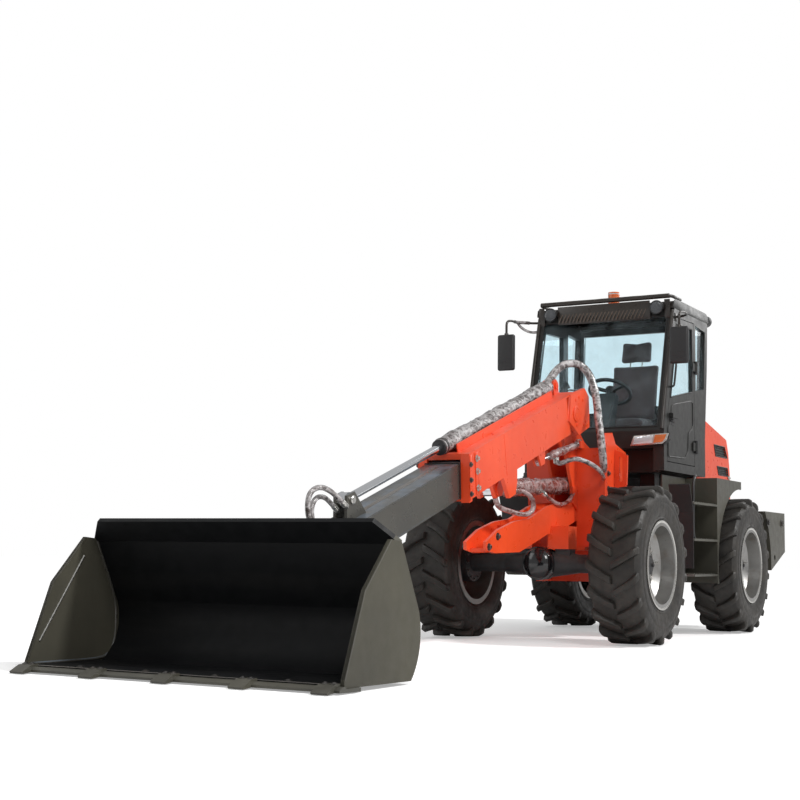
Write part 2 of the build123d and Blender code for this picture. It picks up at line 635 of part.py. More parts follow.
COUPLER_BACK = LIP_Y + 727  # face against the bucket's belly
with BuildPart() as coupler:
    # frame plate behind the bucket, with a window round the tilt eye
    block(-420, 420, COUPLER_BACK, COUPLER_BACK + 18, 130, 440)
    for side in (-1, 1):
        low, high = across(
            side, HEAD_PLATE_INNER + HEAD_PLATE + SEAT_GAP, HEAD_PLATE_INNER + HEAD_PLATE + SEAT_GAP + 28,
        )
        ear = [
            (COUPLER_BACK + 10, 170), (HEAD_PIVOT[0] + 30, 240), (HEAD_PIVOT[0] + 60, 300),
            (HEAD_PIVOT[0] + 30, 360), (COUPLER_BACK + 10, 430),
        ]
        side_plate(ear, low, high)
        low, high = across(side, TILT_EYE_WIDTH / 2 + SEAT_GAP, TILT_EYE_WIDTH / 2 + SEAT_GAP + 22)
        tilt_ear = [
            (COUPLER_BACK + 2, 380), (HEAD_PIVOT[0] - 34, 400), (TILT_TIP[0] + 40, TILT_TIP[1]),
            (TILT_TIP[0] + 10, TILT_TIP[1] + 45), (TILT_TIP[0] - 30, TILT_TIP[1] + 45),
            (COUPLER_BACK + 2, 440),
        ]
        side_plate(tilt_ear, low, high)
    side_disc(*HEAD_PIVOT, HEAD_PIN + RUNNING, -300, 300, mode=Mode.SUBTRACT)
coupler.part.label = "quick_coupler"
export_step(coupler.part, "parts/quick_coupler.step")

# ---- working cylinders --------------------------------------------------------------------------
cylinder(
    "lift", Plane.YZ, LIFT_BASE, on_boom(*LIFT_TIP), bore=48, wall=11, rod=32, barrel_length=1480,
    inside=560, pin=LIFT_PIN, eye_width=LIFT_EYE_WIDTH,
)
cylinder(
    "levelling", Plane.YZ.offset(LEVEL_X), LEVEL_BASE, on_boom(*LEVEL_TIP), bore=22, wall=6, rod=14,
    barrel_length=600, inside=330, pin=LEVEL_PIN, eye_width=LEVEL_EYE_WIDTH,
)
cylinder(
    "tilt", Plane.YZ, TILT_BASE, TILT_TIP, bore=38, wall=8, rod=24, barrel_length=600, inside=345,
    pin=TILT_PIN, eye_width=TILT_EYE_WIDTH,
)
for steer_side, steer_name in ((1, "left"), (-1, "right")):
    cylinder(
        f"steering_{steer_name}", Plane.XY.offset(STEER_Z), (steer_side * STEER_BASE[0], STEER_BASE[1]),
        (steer_side * STEER_TIP[0], STEER_TIP[1]), bore=28, wall=8, rod=18, barrel_length=420,
        inside=230, pin=STEER_PIN, eye_width=STEER_EYE_WIDTH,
    )

# ---- rear frame, engine and counterweight -------------------------------------------------------
RAIL_X = 255  # inner face of the side rails
RAIL_LOW_Z = 640
RAIL_TOP_Z = 920
YOKE_GAP = 0.3  # between the two frames' articulation plates
FRAME_FRONT_Y = PIVOT_Y + 170
FRAME_REAR_Y = ra(470)

with BuildPart() as rear_frame:
    block(RAIL_X, RAIL_X + PLATE, FRAME_FRONT_Y, FRAME_REAR_Y, RAIL_LOW_Z, RAIL_TOP_Z)
    block(0, RAIL_X, FRAME_FRONT_Y, FRAME_FRONT_Y + PLATE, 430, 1010)
    block(RAIL_X, RAIL_X + PLATE, FRAME_FRONT_Y, FRAME_FRONT_Y + 160, 430, 1010)
    block(0, RAIL_X, FRAME_REAR_Y - PLATE, FRAME_REAR_Y, RAIL_LOW_Z, RAIL_TOP_Z)
    block(0, RAIL_X, ra(-330), ra(-305), RAIL_LOW_Z, RAIL_TOP_Z - 60)
    block(0, RAIL_X, ra(-120), ra(300), RAIL_LOW_Z + 145, RAIL_LOW_Z + 165)
    block(AXLE_PAD_X - 60, RAIL_X, ra(-80), ra(80), AXLE_PAD_TOP, RAIL_LOW_Z + 150)
    # outriggers that carry the steps and the tank, and posts that carry the cab
    for y in (ra(-900), ra(-640)):
        block(RAIL_X, 560, y, y + 60, 820, 900)
    for y in (PIVOT_Y + 250, ra(-330)):
        block(RAIL_X, RAIL_X + 130, y, y + 120, 840, 1349.7)
    upper = (YOKE_TOP_Z - YOKE_PLATE * 1.5 - YOKE_GAP, YOKE_TOP_Z - YOKE_PLATE / 2 - YOKE_GAP)
    lower = (YOKE_LOW_Z + YOKE_PLATE / 2 + YOKE_GAP, YOKE_LOW_Z + YOKE_PLATE * 1.5 + YOKE_GAP)
    for plate_low, plate_high in (upper, lower):
        block(0, YOKE_RADIUS - 15, PIVOT_Y, FRAME_FRONT_Y, plate_low, plate_high)
        post(0, PIVOT_Y, YOKE_RADIUS - 15, plate_low, plate_high)
    # steering cylinder seats
    for ear_z in (STEER_Z - STEER_EYE_WIDTH / 2 - SEAT_GAP, STEER_Z + STEER_EYE_WIDTH / 2 + SEAT_GAP + 20):
        block(
            STEER_BASE[0] - 36, STEER_BASE[0] + 36, STEER_BASE[1] - 34, STEER_BASE[1] + 80, ear_z - 20,
            ear_z,
        )
    block(100, RAIL_X + PLATE, STEER_BASE[1] + 55, STEER_BASE[1] + 80, STEER_Z - 45, RAIL_LOW_Z + 60)
    post(*STEER_BASE, STEER_PIN, STEER_Z - 50, STEER_Z + 50)
    # the steering cylinders pass through the front plate, and the rails arch over the axle
    block(95, 300, FRAME_FRONT_Y - 1, FRAME_FRONT_Y + 161, STEER_Z - 60, STEER_Z + 60, mode=Mode.SUBTRACT)
    side_disc(REAR_AXLE_Y, AXLE_Z, 95, RAIL_X - 1, RAIL_X + PLATE + 1, mode=Mode.SUBTRACT)
    mirror(about=Plane.YZ)
    for plate_z in (YOKE_TOP_Z, YOKE_LOW_Z):
        post(0, PIVOT_Y, YOKE_PIN, plate_z - 60, plate_z + 60)
rear_frame.part.label = "rear_frame"
export_step(rear_frame.part, "parts/rear_frame.step")

with BuildPart() as engine:
    block(-220, 220, ra(-60), ra(430), 850, 1480)
    block(-RAIL_X + 0.3, RAIL_X - 0.3, ra(60), ra(120), RAIL_LOW_Z + 165, 850)
    block(-RAIL_X + 0.3, RAIL_X - 0.3, ra(220), ra(280), RAIL_LOW_Z + 165, 850)
engine.part.label = "engine"
export_step(engine.part, "parts/engine.step")

WEIGHT_TOP_Z = 1078
WEIGHT_HALF_WIDTH = 930
WEIGHT_ARCH = 705
WEIGHT_REAR_Y = ra(1200)
LASHING_RADIUS = 26
LASHING_DEPTH = 60
TOW_RADIUS = 18
TOW_Y = WEIGHT_REAR_Y - 50
with BuildPart() as counterweight:
    body = [
        (ra(300), WEIGHT_TOP_Z), (WEIGHT_REAR_Y, WEIGHT_TOP_Z), (WEIGHT_REAR_Y, 714), (ra(600), 505), (
            ra(300), 505,
        ),
    ]
    side_plate(body, -WEIGHT_HALF_WIDTH, WEIGHT_HALF_WIDTH)
    side_disc(REAR_AXLE_Y, AXLE_Z, WEIGHT_ARCH, -1000, 1000, mode=Mode.SUBTRACT)
    block(-RAIL_X, RAIL_X, FRAME_REAR_Y, ra(760), RAIL_LOW_Z, WEIGHT_TOP_Z)
    # lashing holes in its sides and a towing slot with an upright pin bore at its rear
    for side in (-1, 1):
        low, high = across(side, WEIGHT_HALF_WIDTH - LASHING_DEPTH, WEIGHT_HALF_WIDTH + 1)
        side_disc(ra(830), 660, LASHING_RADIUS, low, high, mode=Mode.SUBTRACT)
    block(-70, 70, TOW_Y - 60, WEIGHT_REAR_Y + 1, 820, 920, mode=Mode.SUBTRACT)
    post(0, TOW_Y, TOW_RADIUS, 760, WEIGHT_TOP_Z + 1, mode=Mode.SUBTRACT)
counterweight.part.label = "counterweight"
export_step(counterweight.part, "parts/counterweight.step")

# ---- engine hood --------------------------------------------------------------------------------
HOOD_HALF_WIDTH = 500
HOOD_WALL = 12
HOOD_LOW_Z = WEIGHT_TOP_Z + 0.3
HOOD_TOP_Z = 1885
HOOD_FRONT_Y = ra(-148)
HOOD_HINGE = (ra(-135), HOOD_TOP_Z + 16)
HOOD_PROFILE = [
    (HOOD_FRONT_Y, HOOD_LOW_Z), (HOOD_FRONT_Y, HOOD_TOP_Z), (ra(130), HOOD_TOP_Z), (ra(770), 1760),
    (ra(830), 1640), (ra(880), 1400), (ra(880), HOOD_LOW_Z),
]
# vents in the sides: top edge from and to, bottom edge from and to, low z, high z
HOOD_VENTS = ((375, 705, 420, 790, 1588, 1690), (465, 790, 510, 820, 1417, 1495))
with BuildPart() as hood:
    side_plate(HOOD_PROFILE, -HOOD_HALF_WIDTH, HOOD_HALF_WIDTH)
    fillet(hood.edges().filter_by(Axis.X).group_by(Axis.Z)[-1], 20)
    inside = [
        (HOOD_FRONT_Y - 1, HOOD_LOW_Z - 1), (HOOD_FRONT_Y - 1, HOOD_TOP_Z - HOOD_WALL),
        (ra(128), HOOD_TOP_Z - HOOD_WALL), (ra(762), 1750), (ra(818), 1636), (ra(868), 1399),
        (ra(868), HOOD_LOW_Z - 1),
    ]
    side_plate(inside, HOOD_WALL - HOOD_HALF_WIDTH, HOOD_HALF_WIDTH - HOOD_WALL, mode=Mode.SUBTRACT)
    for top_front, top_rear, low_front, low_rear, low, high in HOOD_VENTS:
        vent = [(ra(top_front), high), (ra(top_rear), high), (ra(low_rear), low), (ra(low_front), low)]
        side_plate(vent, -HOOD_HALF_WIDTH - 1, HOOD_HALF_WIDTH + 1, mode=Mode.SUBTRACT)
    block(-330, 330, ra(800), ra(900), 1150, 1380, mode=Mode.SUBTRACT)
    for side in (-1, 1):
        low, high = across(side, 300, 360)
        block(low, high, HOOD_HINGE[0] - 12, HOOD_HINGE[0] + 30, HOOD_TOP_Z - 1, HOOD_HINGE[1])
        side_disc(*HOOD_HINGE, 14, low, high)
        side_disc(*HOOD_HINGE, 7 + RUNNING, low - 1, high + 1, mode=Mode.SUBTRACT)
hood.part.label = "engine_hood"
export_step(hood.part, "parts/engine_hood.step")

with BuildPart() as grilles:
    for side in (-1, 1):
        low, high = across(side, HOOD_HALF_WIDTH - HOOD_WALL - 8.3, HOOD_HALF_WIDTH - HOOD_WALL - 0.3)
        panel = [(ra(350), 1380), (ra(350), 1710), (ra(745), 1710), (ra(800), 1620), (ra(835), 1380)]
        side_plate(panel, low, high)
    block(-345, 345, ra(859.7), ra(867.7), 1135, 1390)
    for k in range(8):
        block(-328, 328, ra(867), ra(876), 1160 + 28 * k, 1172 + 28 * k)
grilles.part.label = "hood_grilles"
export_step(grilles.part, "parts/hood_grilles.step")

# ---- cab ----------------------------------------------------------------------------------------
CAB_HALF_WIDTH = 620
CAB_WALL = 30
CAB_FRONT_Y = fa(1000)
CAB_REAR_Y = fa(2095)
CAB_LOW_Z = 1350
BELT_Z = 1680
ROOF_LOW_Z = 2730
ROOF_TOP_Z = 2815
RECESS_X = 528
RECESS_Y = fa(1225)
RECESS_Z = 1536
SCREEN_TOP_Y = fa(1285)
DOOR = [(fa(1075), 1425), (fa(1075), 1740), (fa(1330), 2660), (fa(1800), 2675), (fa(1800), 1425)]
DOOR_WINDOW = [(fa(1172), 1965), (fa(1350), 2600), (fa(1740), 2612), (fa(1740), 2065)]
QUARTER_WINDOW = [(fa(1845), 2085), (fa(1845), 2660), (fa(2120), 2640), (fa(2074), 2125)]

with BuildPart() as tub:
    block(-CAB_HALF_WIDTH, CAB_HALF_WIDTH, CAB_FRONT_Y, CAB_REAR_Y, CAB_LOW_Z, BELT_Z)
    inside_x = CAB_HALF_WIDTH - CAB_WALL
    block(
        -inside_x, inside_x, CAB_FRONT_Y + CAB_WALL, CAB_REAR_Y - CAB_WALL, CAB_LOW_Z + 40, BELT_Z + 1,
        mode=Mode.SUBTRACT,
    )
    block(
        -RECESS_X - CAB_WALL, RECESS_X + CAB_WALL, CAB_FRONT_Y + 10, RECESS_Y + CAB_WALL, CAB_LOW_Z,
        RECESS_Z + CAB_WALL,
    )
    block(-RECESS_X, RECESS_X, CAB_FRONT_Y - 1, RECESS_Y, CAB_LOW_Z - 1, RECESS_Z, mode=Mode.SUBTRACT)
    side_plate(DOOR, inside_x - 1, CAB_HALF_WIDTH + 1, mode=Mode.SUBTRACT)
tub.part.label = "cab_tub"
export_step(tub.part, "parts/cab_tub.step")

with BuildPart() as cab_frame:
    side_outline = [
        (CAB_FRONT_Y, BELT_Z), (SCREEN_TOP_Y, ROOF_LOW_Z), (fa(2190), ROOF_LOW_Z), (fa(2165), 2300), (
            CAB_REAR_Y, BELT_Z,
        ),
    ]
    side_plate(side_outline, -CAB_HALF_WIDTH, CAB_HALF_WIDTH)
    hollow = [
        (CAB_FRONT_Y + 60, BELT_Z - 1), (SCREEN_TOP_Y + 60, ROOF_LOW_Z + 1), (fa(2145), ROOF_LOW_Z + 1),
        (fa(2120), 2300), (CAB_REAR_Y - 45, BELT_Z - 1),
    ]
    side_plate(hollow, CAB_WALL + 15 - CAB_HALF_WIDTH, CAB_HALF_WIDTH - CAB_WALL - 15, mode=Mode.SUBTRACT)
    # windscreen and rear window openings
    block(-560, 560, fa(900), fa(1600), BELT_Z + 30, ROOF_LOW_Z - 60, mode=Mode.SUBTRACT)
    block(-540, 540, fa(2000), fa(2300), 1950, ROOF_LOW_Z - 60, mode=Mode.SUBTRACT)
    side_plate(DOOR, 0, CAB_HALF_WIDTH + 1, mode=Mode.SUBTRACT)
    side_plate(QUARTER_WINDOW, -CAB_HALF_WIDTH - 1, CAB_HALF_WIDTH + 1, mode=Mode.SUBTRACT)
    side_plate(DOOR_WINDOW, -CAB_HALF_WIDTH - 1, 0, mode=Mode.SUBTRACT)
    # brackets and pins that the engine hood turns on
    for side in (-1, 1):
        for inner, outer in ((288, 299.6), (360.4, 372)):
            low, high = across(side, inner, outer)
            block(low, high, CAB_REAR_Y, HOOD_HINGE[0] + 7.5, HOOD_HINGE[1] - 7.5, HOOD_HINGE[1] + 12)
        low, high = across(side, 288, 372)
        side_disc(*HOOD_HINGE, 7, low, high)
cab_frame.part.label = "cab_frame"
export_step(cab_frame.part, "parts/cab_frame.step")

with BuildPart() as roof:
    roof_outline = [
        (SCREEN_TOP_Y - 30, ROOF_LOW_Z), (SCREEN_TOP_Y - 10, ROOF_LOW_Z + 60), (fa(1420), ROOF_TOP_Z),
        (fa(2120), ROOF_TOP_Z), (fa(2215), ROOF_LOW_Z + 40), (fa(2205), ROOF_LOW_Z),
    ]
    side_plate(roof_outline, -CAB_HALF_WIDTH, CAB_HALF_WIDTH)
    block(-570, 570, SCREEN_TOP_Y + 40, fa(2120), ROOF_LOW_Z - 1, ROOF_LOW_Z + 45, mode=Mode.SUBTRACT)
roof.part.label = "cab_roof"
export_step(roof.part, "parts/cab_roof.step")

# ---- door and glass -----------------------------------------------------------------------------
DOOR_GAP = 6
DOOR_THICK = 36
DOOR_HINGE = (CAB_HALF_WIDTH + 14, fa(1800) + 10)  # (x, y) of the hinge pins, at the door's rear edge
GLASS = 6
GLASS_GAP = 0.4

with BuildPart() as door:
    with BuildSketch(Plane.YZ.offset(CAB_HALF_WIDTH - DOOR_THICK)) as leaf:
        with BuildLine():
            Polyline(*DOOR, close=True)
        make_face()
        offset(amount=-DOOR_GAP, mode=Mode.REPLACE)
    extrude(leaf.sketch, amount=DOOR_THICK)
    side_plate(DOOR_WINDOW, CAB_HALF_WIDTH - DOOR_THICK - 1, CAB_HALF_WIDTH + 1, mode=Mode.SUBTRACT)
    for z in (1560, 2250):
        block(CAB_HALF_WIDTH - 2, DOOR_HINGE[0], fa(1730), fa(1785), z, z + 70)
        block(CAB_HALF_WIDTH + 1, DOOR_HINGE[0], fa(1785), DOOR_HINGE[1], z, z + 70)
        post(*DOOR_HINGE, 13, z, z + 70)
        post(*DOOR_HINGE, 7 + RUNNING, z - 1, z + 71, mode=Mode.SUBTRACT)
    # outside handle
    block(CAB_HALF_WIDTH - 1, CAB_HALF_WIDTH + 34, fa(1135), fa(1165), 1790, 1830)
    block(CAB_HALF_WIDTH + 22, CAB_HALF_WIDTH + 34, fa(1135), fa(1280), 1790, 1830)
door.part.label = "cab_door"
export_step(door.part, "parts/cab_door.step")

with BuildPart() as door_glass:
    with BuildSketch(Plane.YZ.offset(CAB_HALF_WIDTH - DOOR_THICK / 2 - GLASS / 2)) as pane:
        with BuildLine():
            Polyline(*DOOR_WINDOW, close=True)
        make_face()
        offset(amount=-GLASS_GAP, mode=Mode.REPLACE)
    extrude(pane.sketch, amount=GLASS)
door_glass.part.label = "door_glass"
export_step(door_glass.part, "parts/door_glass.step")

# hinge straps on the cab, with the pins that the door turns on
with BuildPart() as door_hinges:
    for z in (1560, 2250):
        for low in (z - 20.4, z + 70.4):
            block(CAB_HALF_WIDTH, DOOR_HINGE[0], DOOR_HINGE[1] - 13, DOOR_HINGE[1] + 60, low, low + 20)
            post(*DOOR_HINGE, 13, low, low + 20)
        post(*DOOR_HINGE, 7, z - 20, z + 90)
door_hinges.part.label = "door_hinges"
export_step(door_hinges.part, "parts/door_hinges.step")

with BuildPart() as glass:
    lean = Vector(0, SCREEN_TOP_Y - CAB_FRONT_Y, ROOF_LOW_Z - BELT_Z)
    foot = Vector(0, CAB_FRONT_Y + 27, BELT_Z)
    screen = Plane(origin=foot, x_dir=(1, 0, 0), z_dir=Vector(1, 0, 0).cross(lean.normalized()))
    up = lean.length / (ROOF_LOW_Z - BELT_Z)
    with BuildSketch(screen) as pane:
        with Locations((0, (30 + ROOF_LOW_Z - 60 - BELT_Z) / 2 * up)):
            Rectangle(2 * (560 - GLASS_GAP), (ROOF_LOW_Z - 90 - BELT_Z) * up - 8)
    extrude(pane.sketch, amount=GLASS / 2, both=True)
    with BuildSketch(Plane.YZ.offset(-CAB_HALF_WIDTH + 20)) as pane:
        for loop in (DOOR_WINDOW, QUARTER_WINDOW):
            with BuildLine():
                Polyline(*loop, close=True)
            make_face()
        offset(amount=-GLASS_GAP, mode=Mode.REPLACE)
    extrude(pane.sketch, amount=GLASS)
    with BuildSketch(Plane.YZ.offset(CAB_HALF_WIDTH - 26)) as pane:
        with BuildLine():
            Polyline(*QUARTER_WINDOW, close=True)
        make_face()
        offset(amount=-GLASS_GAP, mode=Mode.REPLACE)
    extrude(pane.sketch, amount=GLASS)
    rear_pane = [
        (fa(2136), 2301), (fa(2136 + 24), ROOF_LOW_Z - 61), (fa(2142 + 24), ROOF_LOW_Z - 61),
        (fa(2142), 2301),
    ]
    low_pane = [(fa(2102), 1951), (fa(2136), 2300), (fa(2142), 2300), (fa(2108), 1951)]
    side_plate(rear_pane, -539.7, 539.7)
    side_plate(low_pane, -539.7, 539.7)
glass.part.label = "cab_glass"
export_step(glass.part, "parts/cab_glass.step")

# ---- seat and controls --------------------------------------------------------------------------
FLOOR_Z = CAB_LOW_Z + 40
SEAT_Y = fa(1640)
with BuildPart() as seat:
    block(-170, 170, SEAT_Y - 160, SEAT_Y + 200, FLOOR_Z + 0.3, 1690)
    block(-250, 250, SEAT_Y - 230, SEAT_Y + 250, 1690, 1810)
    back = [(SEAT_Y + 130, 1800), (SEAT_Y + 250, 1800), (SEAT_Y + 330, 2330), (SEAT_Y + 230, 2330)]
    side_plate(back, -235, 235)
    head = [(SEAT_Y + 235, 2310), (SEAT_Y + 320, 2310), (SEAT_Y + 350, 2520), (SEAT_Y + 270, 2520)]
    side_plate(head, -135, 135)
seat.part.label = "operator_seat"
export_step(seat.part, "parts/operator_seat.step")

WHEEL_HUB = Vector(0, fa(1400), 2050)
with BuildPart() as controls:
    column = [
        (fa(1060), RECESS_Z + CAB_WALL + 0.3), (fa(1240), RECESS_Z + CAB_WALL + 0.3), (fa(1400), 2010),
        (fa(1330), 2040),
    ]
    side_plate(column, -80, 80)
    tilt = Plane(origin=WHEEL_HUB, x_dir=(1, 0, 0), z_dir=(0, 0.5, 0.866))
    with BuildSketch(tilt) as hub:
        Circle(35)
    extrude(hub.sketch, amount=-70)
    with BuildSketch(tilt) as ring:
        Circle(190)
        Circle(165, mode=Mode.SUBTRACT)
        for spoke in (90, 210, 330):
            with Locations((95 * cos(radians(spoke)), 95 * sin(radians(spoke)))):
                Rectangle(175, 26, rotation=spoke)
    extrude(ring.sketch, amount=22)
    block(-560, -330, fa(1300), fa(1900), FLOOR_Z + 0.3, 1900)
    post(-420, fa(1420), 9, 1899, 2100)
    post(-420, fa(1420), 22, 2060, 2120)
controls.part.label = "controls"
export_step(controls.part, "parts/controls.step")

# ---- lamps, mirrors and roof fittings -----------------------------------------------------------
HEADLAMP = [(350, 1545), (640, 1560), (680, 1600), (690, 1650), (380, 1635)]
with BuildPart() as lamps:
    for side in (-1, 1):
        outline = [(side * x, z) for x, z in HEADLAMP]
        front_plate(outline, CAB_FRONT_Y - 60, CAB_FRONT_Y)
        work = Plane(origin=(side * 483, fa(1220.7), 2737), x_dir=(1, 0, 0), z_dir=(0, -1, 0))
        with BuildSketch(work) as lamp:
            Circle(58)
        with BuildSketch(work.offset(-34)) as lamp_back:
            Circle(34)
        loft([lamp.sketch.face(), lamp_back.sketch.face()])
lamps.part.label = "lamps"
export_step(lamps.part, "parts/lamps.step")

BAR_Z = ROOF_TOP_Z + 20
with BuildPart() as roof_bar:
    tube(
        [(-600, fa(1500), BAR_Z), (-600, fa(1262), BAR_Z), (600, fa(1262), BAR_Z), (600, fa(1500), BAR_Z)],
        radius=14, bend=60,
    )
    for x in (-600, 600):
        post(x, fa(1480), 12, ROOF_TOP_Z + 0.3, BAR_Z)
roof_bar.part.label = "roof_bar"
export_step(roof_bar.part, "parts/roof_bar.step")

with BuildPart() as beacon:
    post(0, fa(1500), 62, ROOF_TOP_Z + 0.3, ROOF_TOP_Z + 20)
    post(0, fa(1500), 50, ROOF_TOP_Z + 20, ROOF_TOP_Z + 130)
beacon.part.label = "beacon"
export_step(beacon.part, "parts/beacon.step")

# ---- steps, tank and mudguards ------------------------------------------------------------------
STEP_OUTER_X = 850
STEP_INNER_X = 560.3
STEP_FRONT_Y = fa(1060)
STEP_REAR_Y = fa(1680)
STEP_PLATE = 12
STEP_TREADS = (513, 800, 1095)
PLATFORM_Z = 1320
ARCH_RADIUS = 665
with BuildPart() as steps:
    # outer cheek behind the treads, cut back round the rear wheel
    side_plate(
        [
            (STEP_REAR_Y, 437), (STEP_REAR_Y, PLATFORM_Z), (ra(30), PLATFORM_Z), (ra(30), 400),
            (ra(-400), 400),
        ],
        STEP_OUTER_X - STEP_PLATE, STEP_OUTER_X,
    )
    side_disc(REAR_AXLE_Y, AXLE_Z, ARCH_RADIUS, STEP_OUTER_X - 50, STEP_OUTER_X + 50, mode=Mode.SUBTRACT)
    block(STEP_INNER_X, STEP_OUTER_X, STEP_REAR_Y, STEP_REAR_Y + STEP_PLATE, 437, PLATFORM_Z)
    block(STEP_INNER_X, STEP_INNER_X + STEP_PLATE, STEP_FRONT_Y + 30, STEP_REAR_Y, 450, PLATFORM_Z)
    block(STEP_INNER_X, STEP_OUTER_X, STEP_REAR_Y, ra(30), PLATFORM_Z - STEP_PLATE, PLATFORM_Z)
    for z in STEP_TREADS:
        block(STEP_INNER_X, STEP_OUTER_X, STEP_FRONT_Y, STEP_REAR_Y, z - 18, z)
steps.part.label = "left_steps"
export_step(steps.part, "parts/left_steps.step")

with BuildPart() as tank:
    block(-STEP_OUTER_X, -STEP_INNER_X, STEP_FRONT_Y + 60, STEP_REAR_Y, 480, 1180)
    fillet(tank.edges().filter_by(Axis.Y), 30)
    block(-STEP_OUTER_X, -STEP_INNER_X, STEP_REAR_Y - 40, ra(30), PLATFORM_Z - STEP_PLATE, PLATFORM_Z)
    block(-STEP_INNER_X - STEP_PLATE, -STEP_INNER_X, STEP_REAR_Y - 200, STEP_REAR_Y, 1100, PLATFORM_Z)
tank.part.label = "right_tank"
export_step(tank.part, "parts/right_tank.step")

# thin curved guards between the front wheels and the steps
with BuildPart() as mudguards:
    for side in (-1, 1):
        low, high = across(side, STEP_INNER_X, STEP_OUTER_X)
        guard_front = STEP_FRONT_Y - 26
        side_plate(
            [(guard_front - 90, 1230), (guard_front - 84, 1236), (guard_front + 6, 1010), (
                guard_front + 6, 560,
            ),
             (guard_front, 560), (guard_front, 1008)],
            low, high,
        )
        # corner cut away for the swung front frame
        low, high = across(side, STEP_INNER_X - 1, 674)
        block(low, high, guard_front - 91, guard_front - 20, 1130, 1240, mode=Mode.SUBTRACT)
        low, high = across(side, STEP_INNER_X, STEP_INNER_X + 40)
        block(low, high, guard_front + 5, STEP_FRONT_Y + (29.7 if side > 0 else 59.7), 900, 940)
mudguards.part.label = "mudguards"
export_step(mudguards.part, "parts/mudguards.step")

with BuildPart() as mirrors:
    # side, head's middle (x, y), head's low and high
    for side, x, y, z_low, z_high in ((1, 762, fa(980), 2215, 2520), (-1, 790, fa(980), 2235, 2550)):
        tube(
            [(side * (CAB_HALF_WIDTH + 0.3), fa(1320), z_high + 140), (side * 690, fa(1320), z_high + 140),
             (side * x, fa(1200), z_high + 140), (side * x, y, z_high + 110), (side * x, y, z_high - 5)],
            radius=11, bend=30,
        )
        block(side * x - 80, side * x + 80, y - 22, y + 22, z_low, z_high)
mirrors.part.label = "mirrors"
export_step(mirrors.part, "parts/mirrors.step")
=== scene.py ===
"""Dresses a pivot-steered telescopic wheel loader.

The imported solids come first. Each sub-assembly class then adds its own pieces and gives its finishes.
Everything is in metres, +Z up, facing -Y, with +X the machine's left.
"""
import logging
import math
import time
from contextlib import contextmanager
from dataclasses import dataclass, field
from enum import Enum
from typing import Iterator, Sequence

import bpy
from mathutils import Matrix, Vector


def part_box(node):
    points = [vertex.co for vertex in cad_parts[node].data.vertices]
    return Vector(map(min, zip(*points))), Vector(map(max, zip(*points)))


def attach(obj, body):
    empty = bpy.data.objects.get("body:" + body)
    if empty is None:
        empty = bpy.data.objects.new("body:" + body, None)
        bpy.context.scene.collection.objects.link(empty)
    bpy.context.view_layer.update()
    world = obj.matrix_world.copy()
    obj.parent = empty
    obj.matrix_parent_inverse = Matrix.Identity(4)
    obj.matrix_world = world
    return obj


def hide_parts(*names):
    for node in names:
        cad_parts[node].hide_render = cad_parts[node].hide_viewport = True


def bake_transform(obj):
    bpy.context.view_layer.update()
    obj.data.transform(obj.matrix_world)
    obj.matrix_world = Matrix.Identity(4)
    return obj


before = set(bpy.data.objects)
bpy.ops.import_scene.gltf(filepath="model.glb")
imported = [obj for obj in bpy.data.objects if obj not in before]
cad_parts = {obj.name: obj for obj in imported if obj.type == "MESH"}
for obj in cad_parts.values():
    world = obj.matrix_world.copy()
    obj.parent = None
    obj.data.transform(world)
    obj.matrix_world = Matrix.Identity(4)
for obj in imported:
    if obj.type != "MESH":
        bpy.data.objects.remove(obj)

LOG = logging.getLogger("loader")
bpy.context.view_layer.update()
Piece = bpy.types.Object
Socket = bpy.types.NodeSocket
Point = tuple[float, float, float]
Colour = tuple[float, float, float]
Pair = tuple[float, float]
Outline = Sequence[Pair]

FRONT_AXLE_Y = 0.54
REAR_AXLE_Y = 2.91
AXLE_Z = 0.5875
WHEEL_X = 0.757
BOOM_PIN = (0.71, 1.748)
BOOM_SLOPE = math.radians(18.43)
STEP_TREADS = (0.513, 0.8, 1.095)
CAB_SIDE_X = 0.6205
FULL_TURN = 2 * math.pi
WHEELS = {
    "front_left": (1, FRONT_AXLE_Y),
    "front_right": (-1, FRONT_AXLE_Y),
    "rear_left": (1, REAR_AXLE_Y),
    "rear_right": (-1, REAR_AXLE_Y),
}


def on_boom(along: float, over: float) -> Pair:
    """Turns a place on the boom into (y, z).

    Args:
        along: Distance forward along the boom from its pivot pin.
        over: Distance above the line through that pin.

    Returns:
        The place's y and z.
    """
    c, s = math.cos(BOOM_SLOPE), math.sin(BOOM_SLOPE)
    return BOOM_PIN[0] - along * c - over * s, BOOM_PIN[1] - along * s + over * c


class Axis(Enum):
    """The direction a turned piece's axis points in."""

    X = (1.0, 0.0, 0.0)
    Z = (0.0, 0.0, 1.0)
    LEFT_FACE = (1.0, 0.0, 0.0)
    RIGHT_FACE = (-1.0, 0.0, 0.0)
    FRONT_FACE = (0.0, -1.0, 0.0)
    REAR_FACE = (0.0, 1.0, 0.0001)
    BOOM = (0.0, -math.cos(BOOM_SLOPE), -math.sin(BOOM_SLOPE))
    BOOM_TOP = (0.0, -math.sin(BOOM_SLOPE), math.cos(BOOM_SLOPE))


# each side's sign in X, its name and its outward face
SIDES = ((1, "left", Axis.LEFT_FACE), (-1, "right", Axis.RIGHT_FACE))


def circle(radius: float, count: int) -> list[Pair]:
    """Spaces places evenly round a circle.

    Args:
        radius: The circle's radius.
        count: How many places it has.

    Returns:
        Each place as a pair of offsets from the middle.
    """
    angles = [FULL_TURN * k / count for k in range(count)]
    return [(radius * math.cos(angle), radius * math.sin(angle)) for angle in angles]


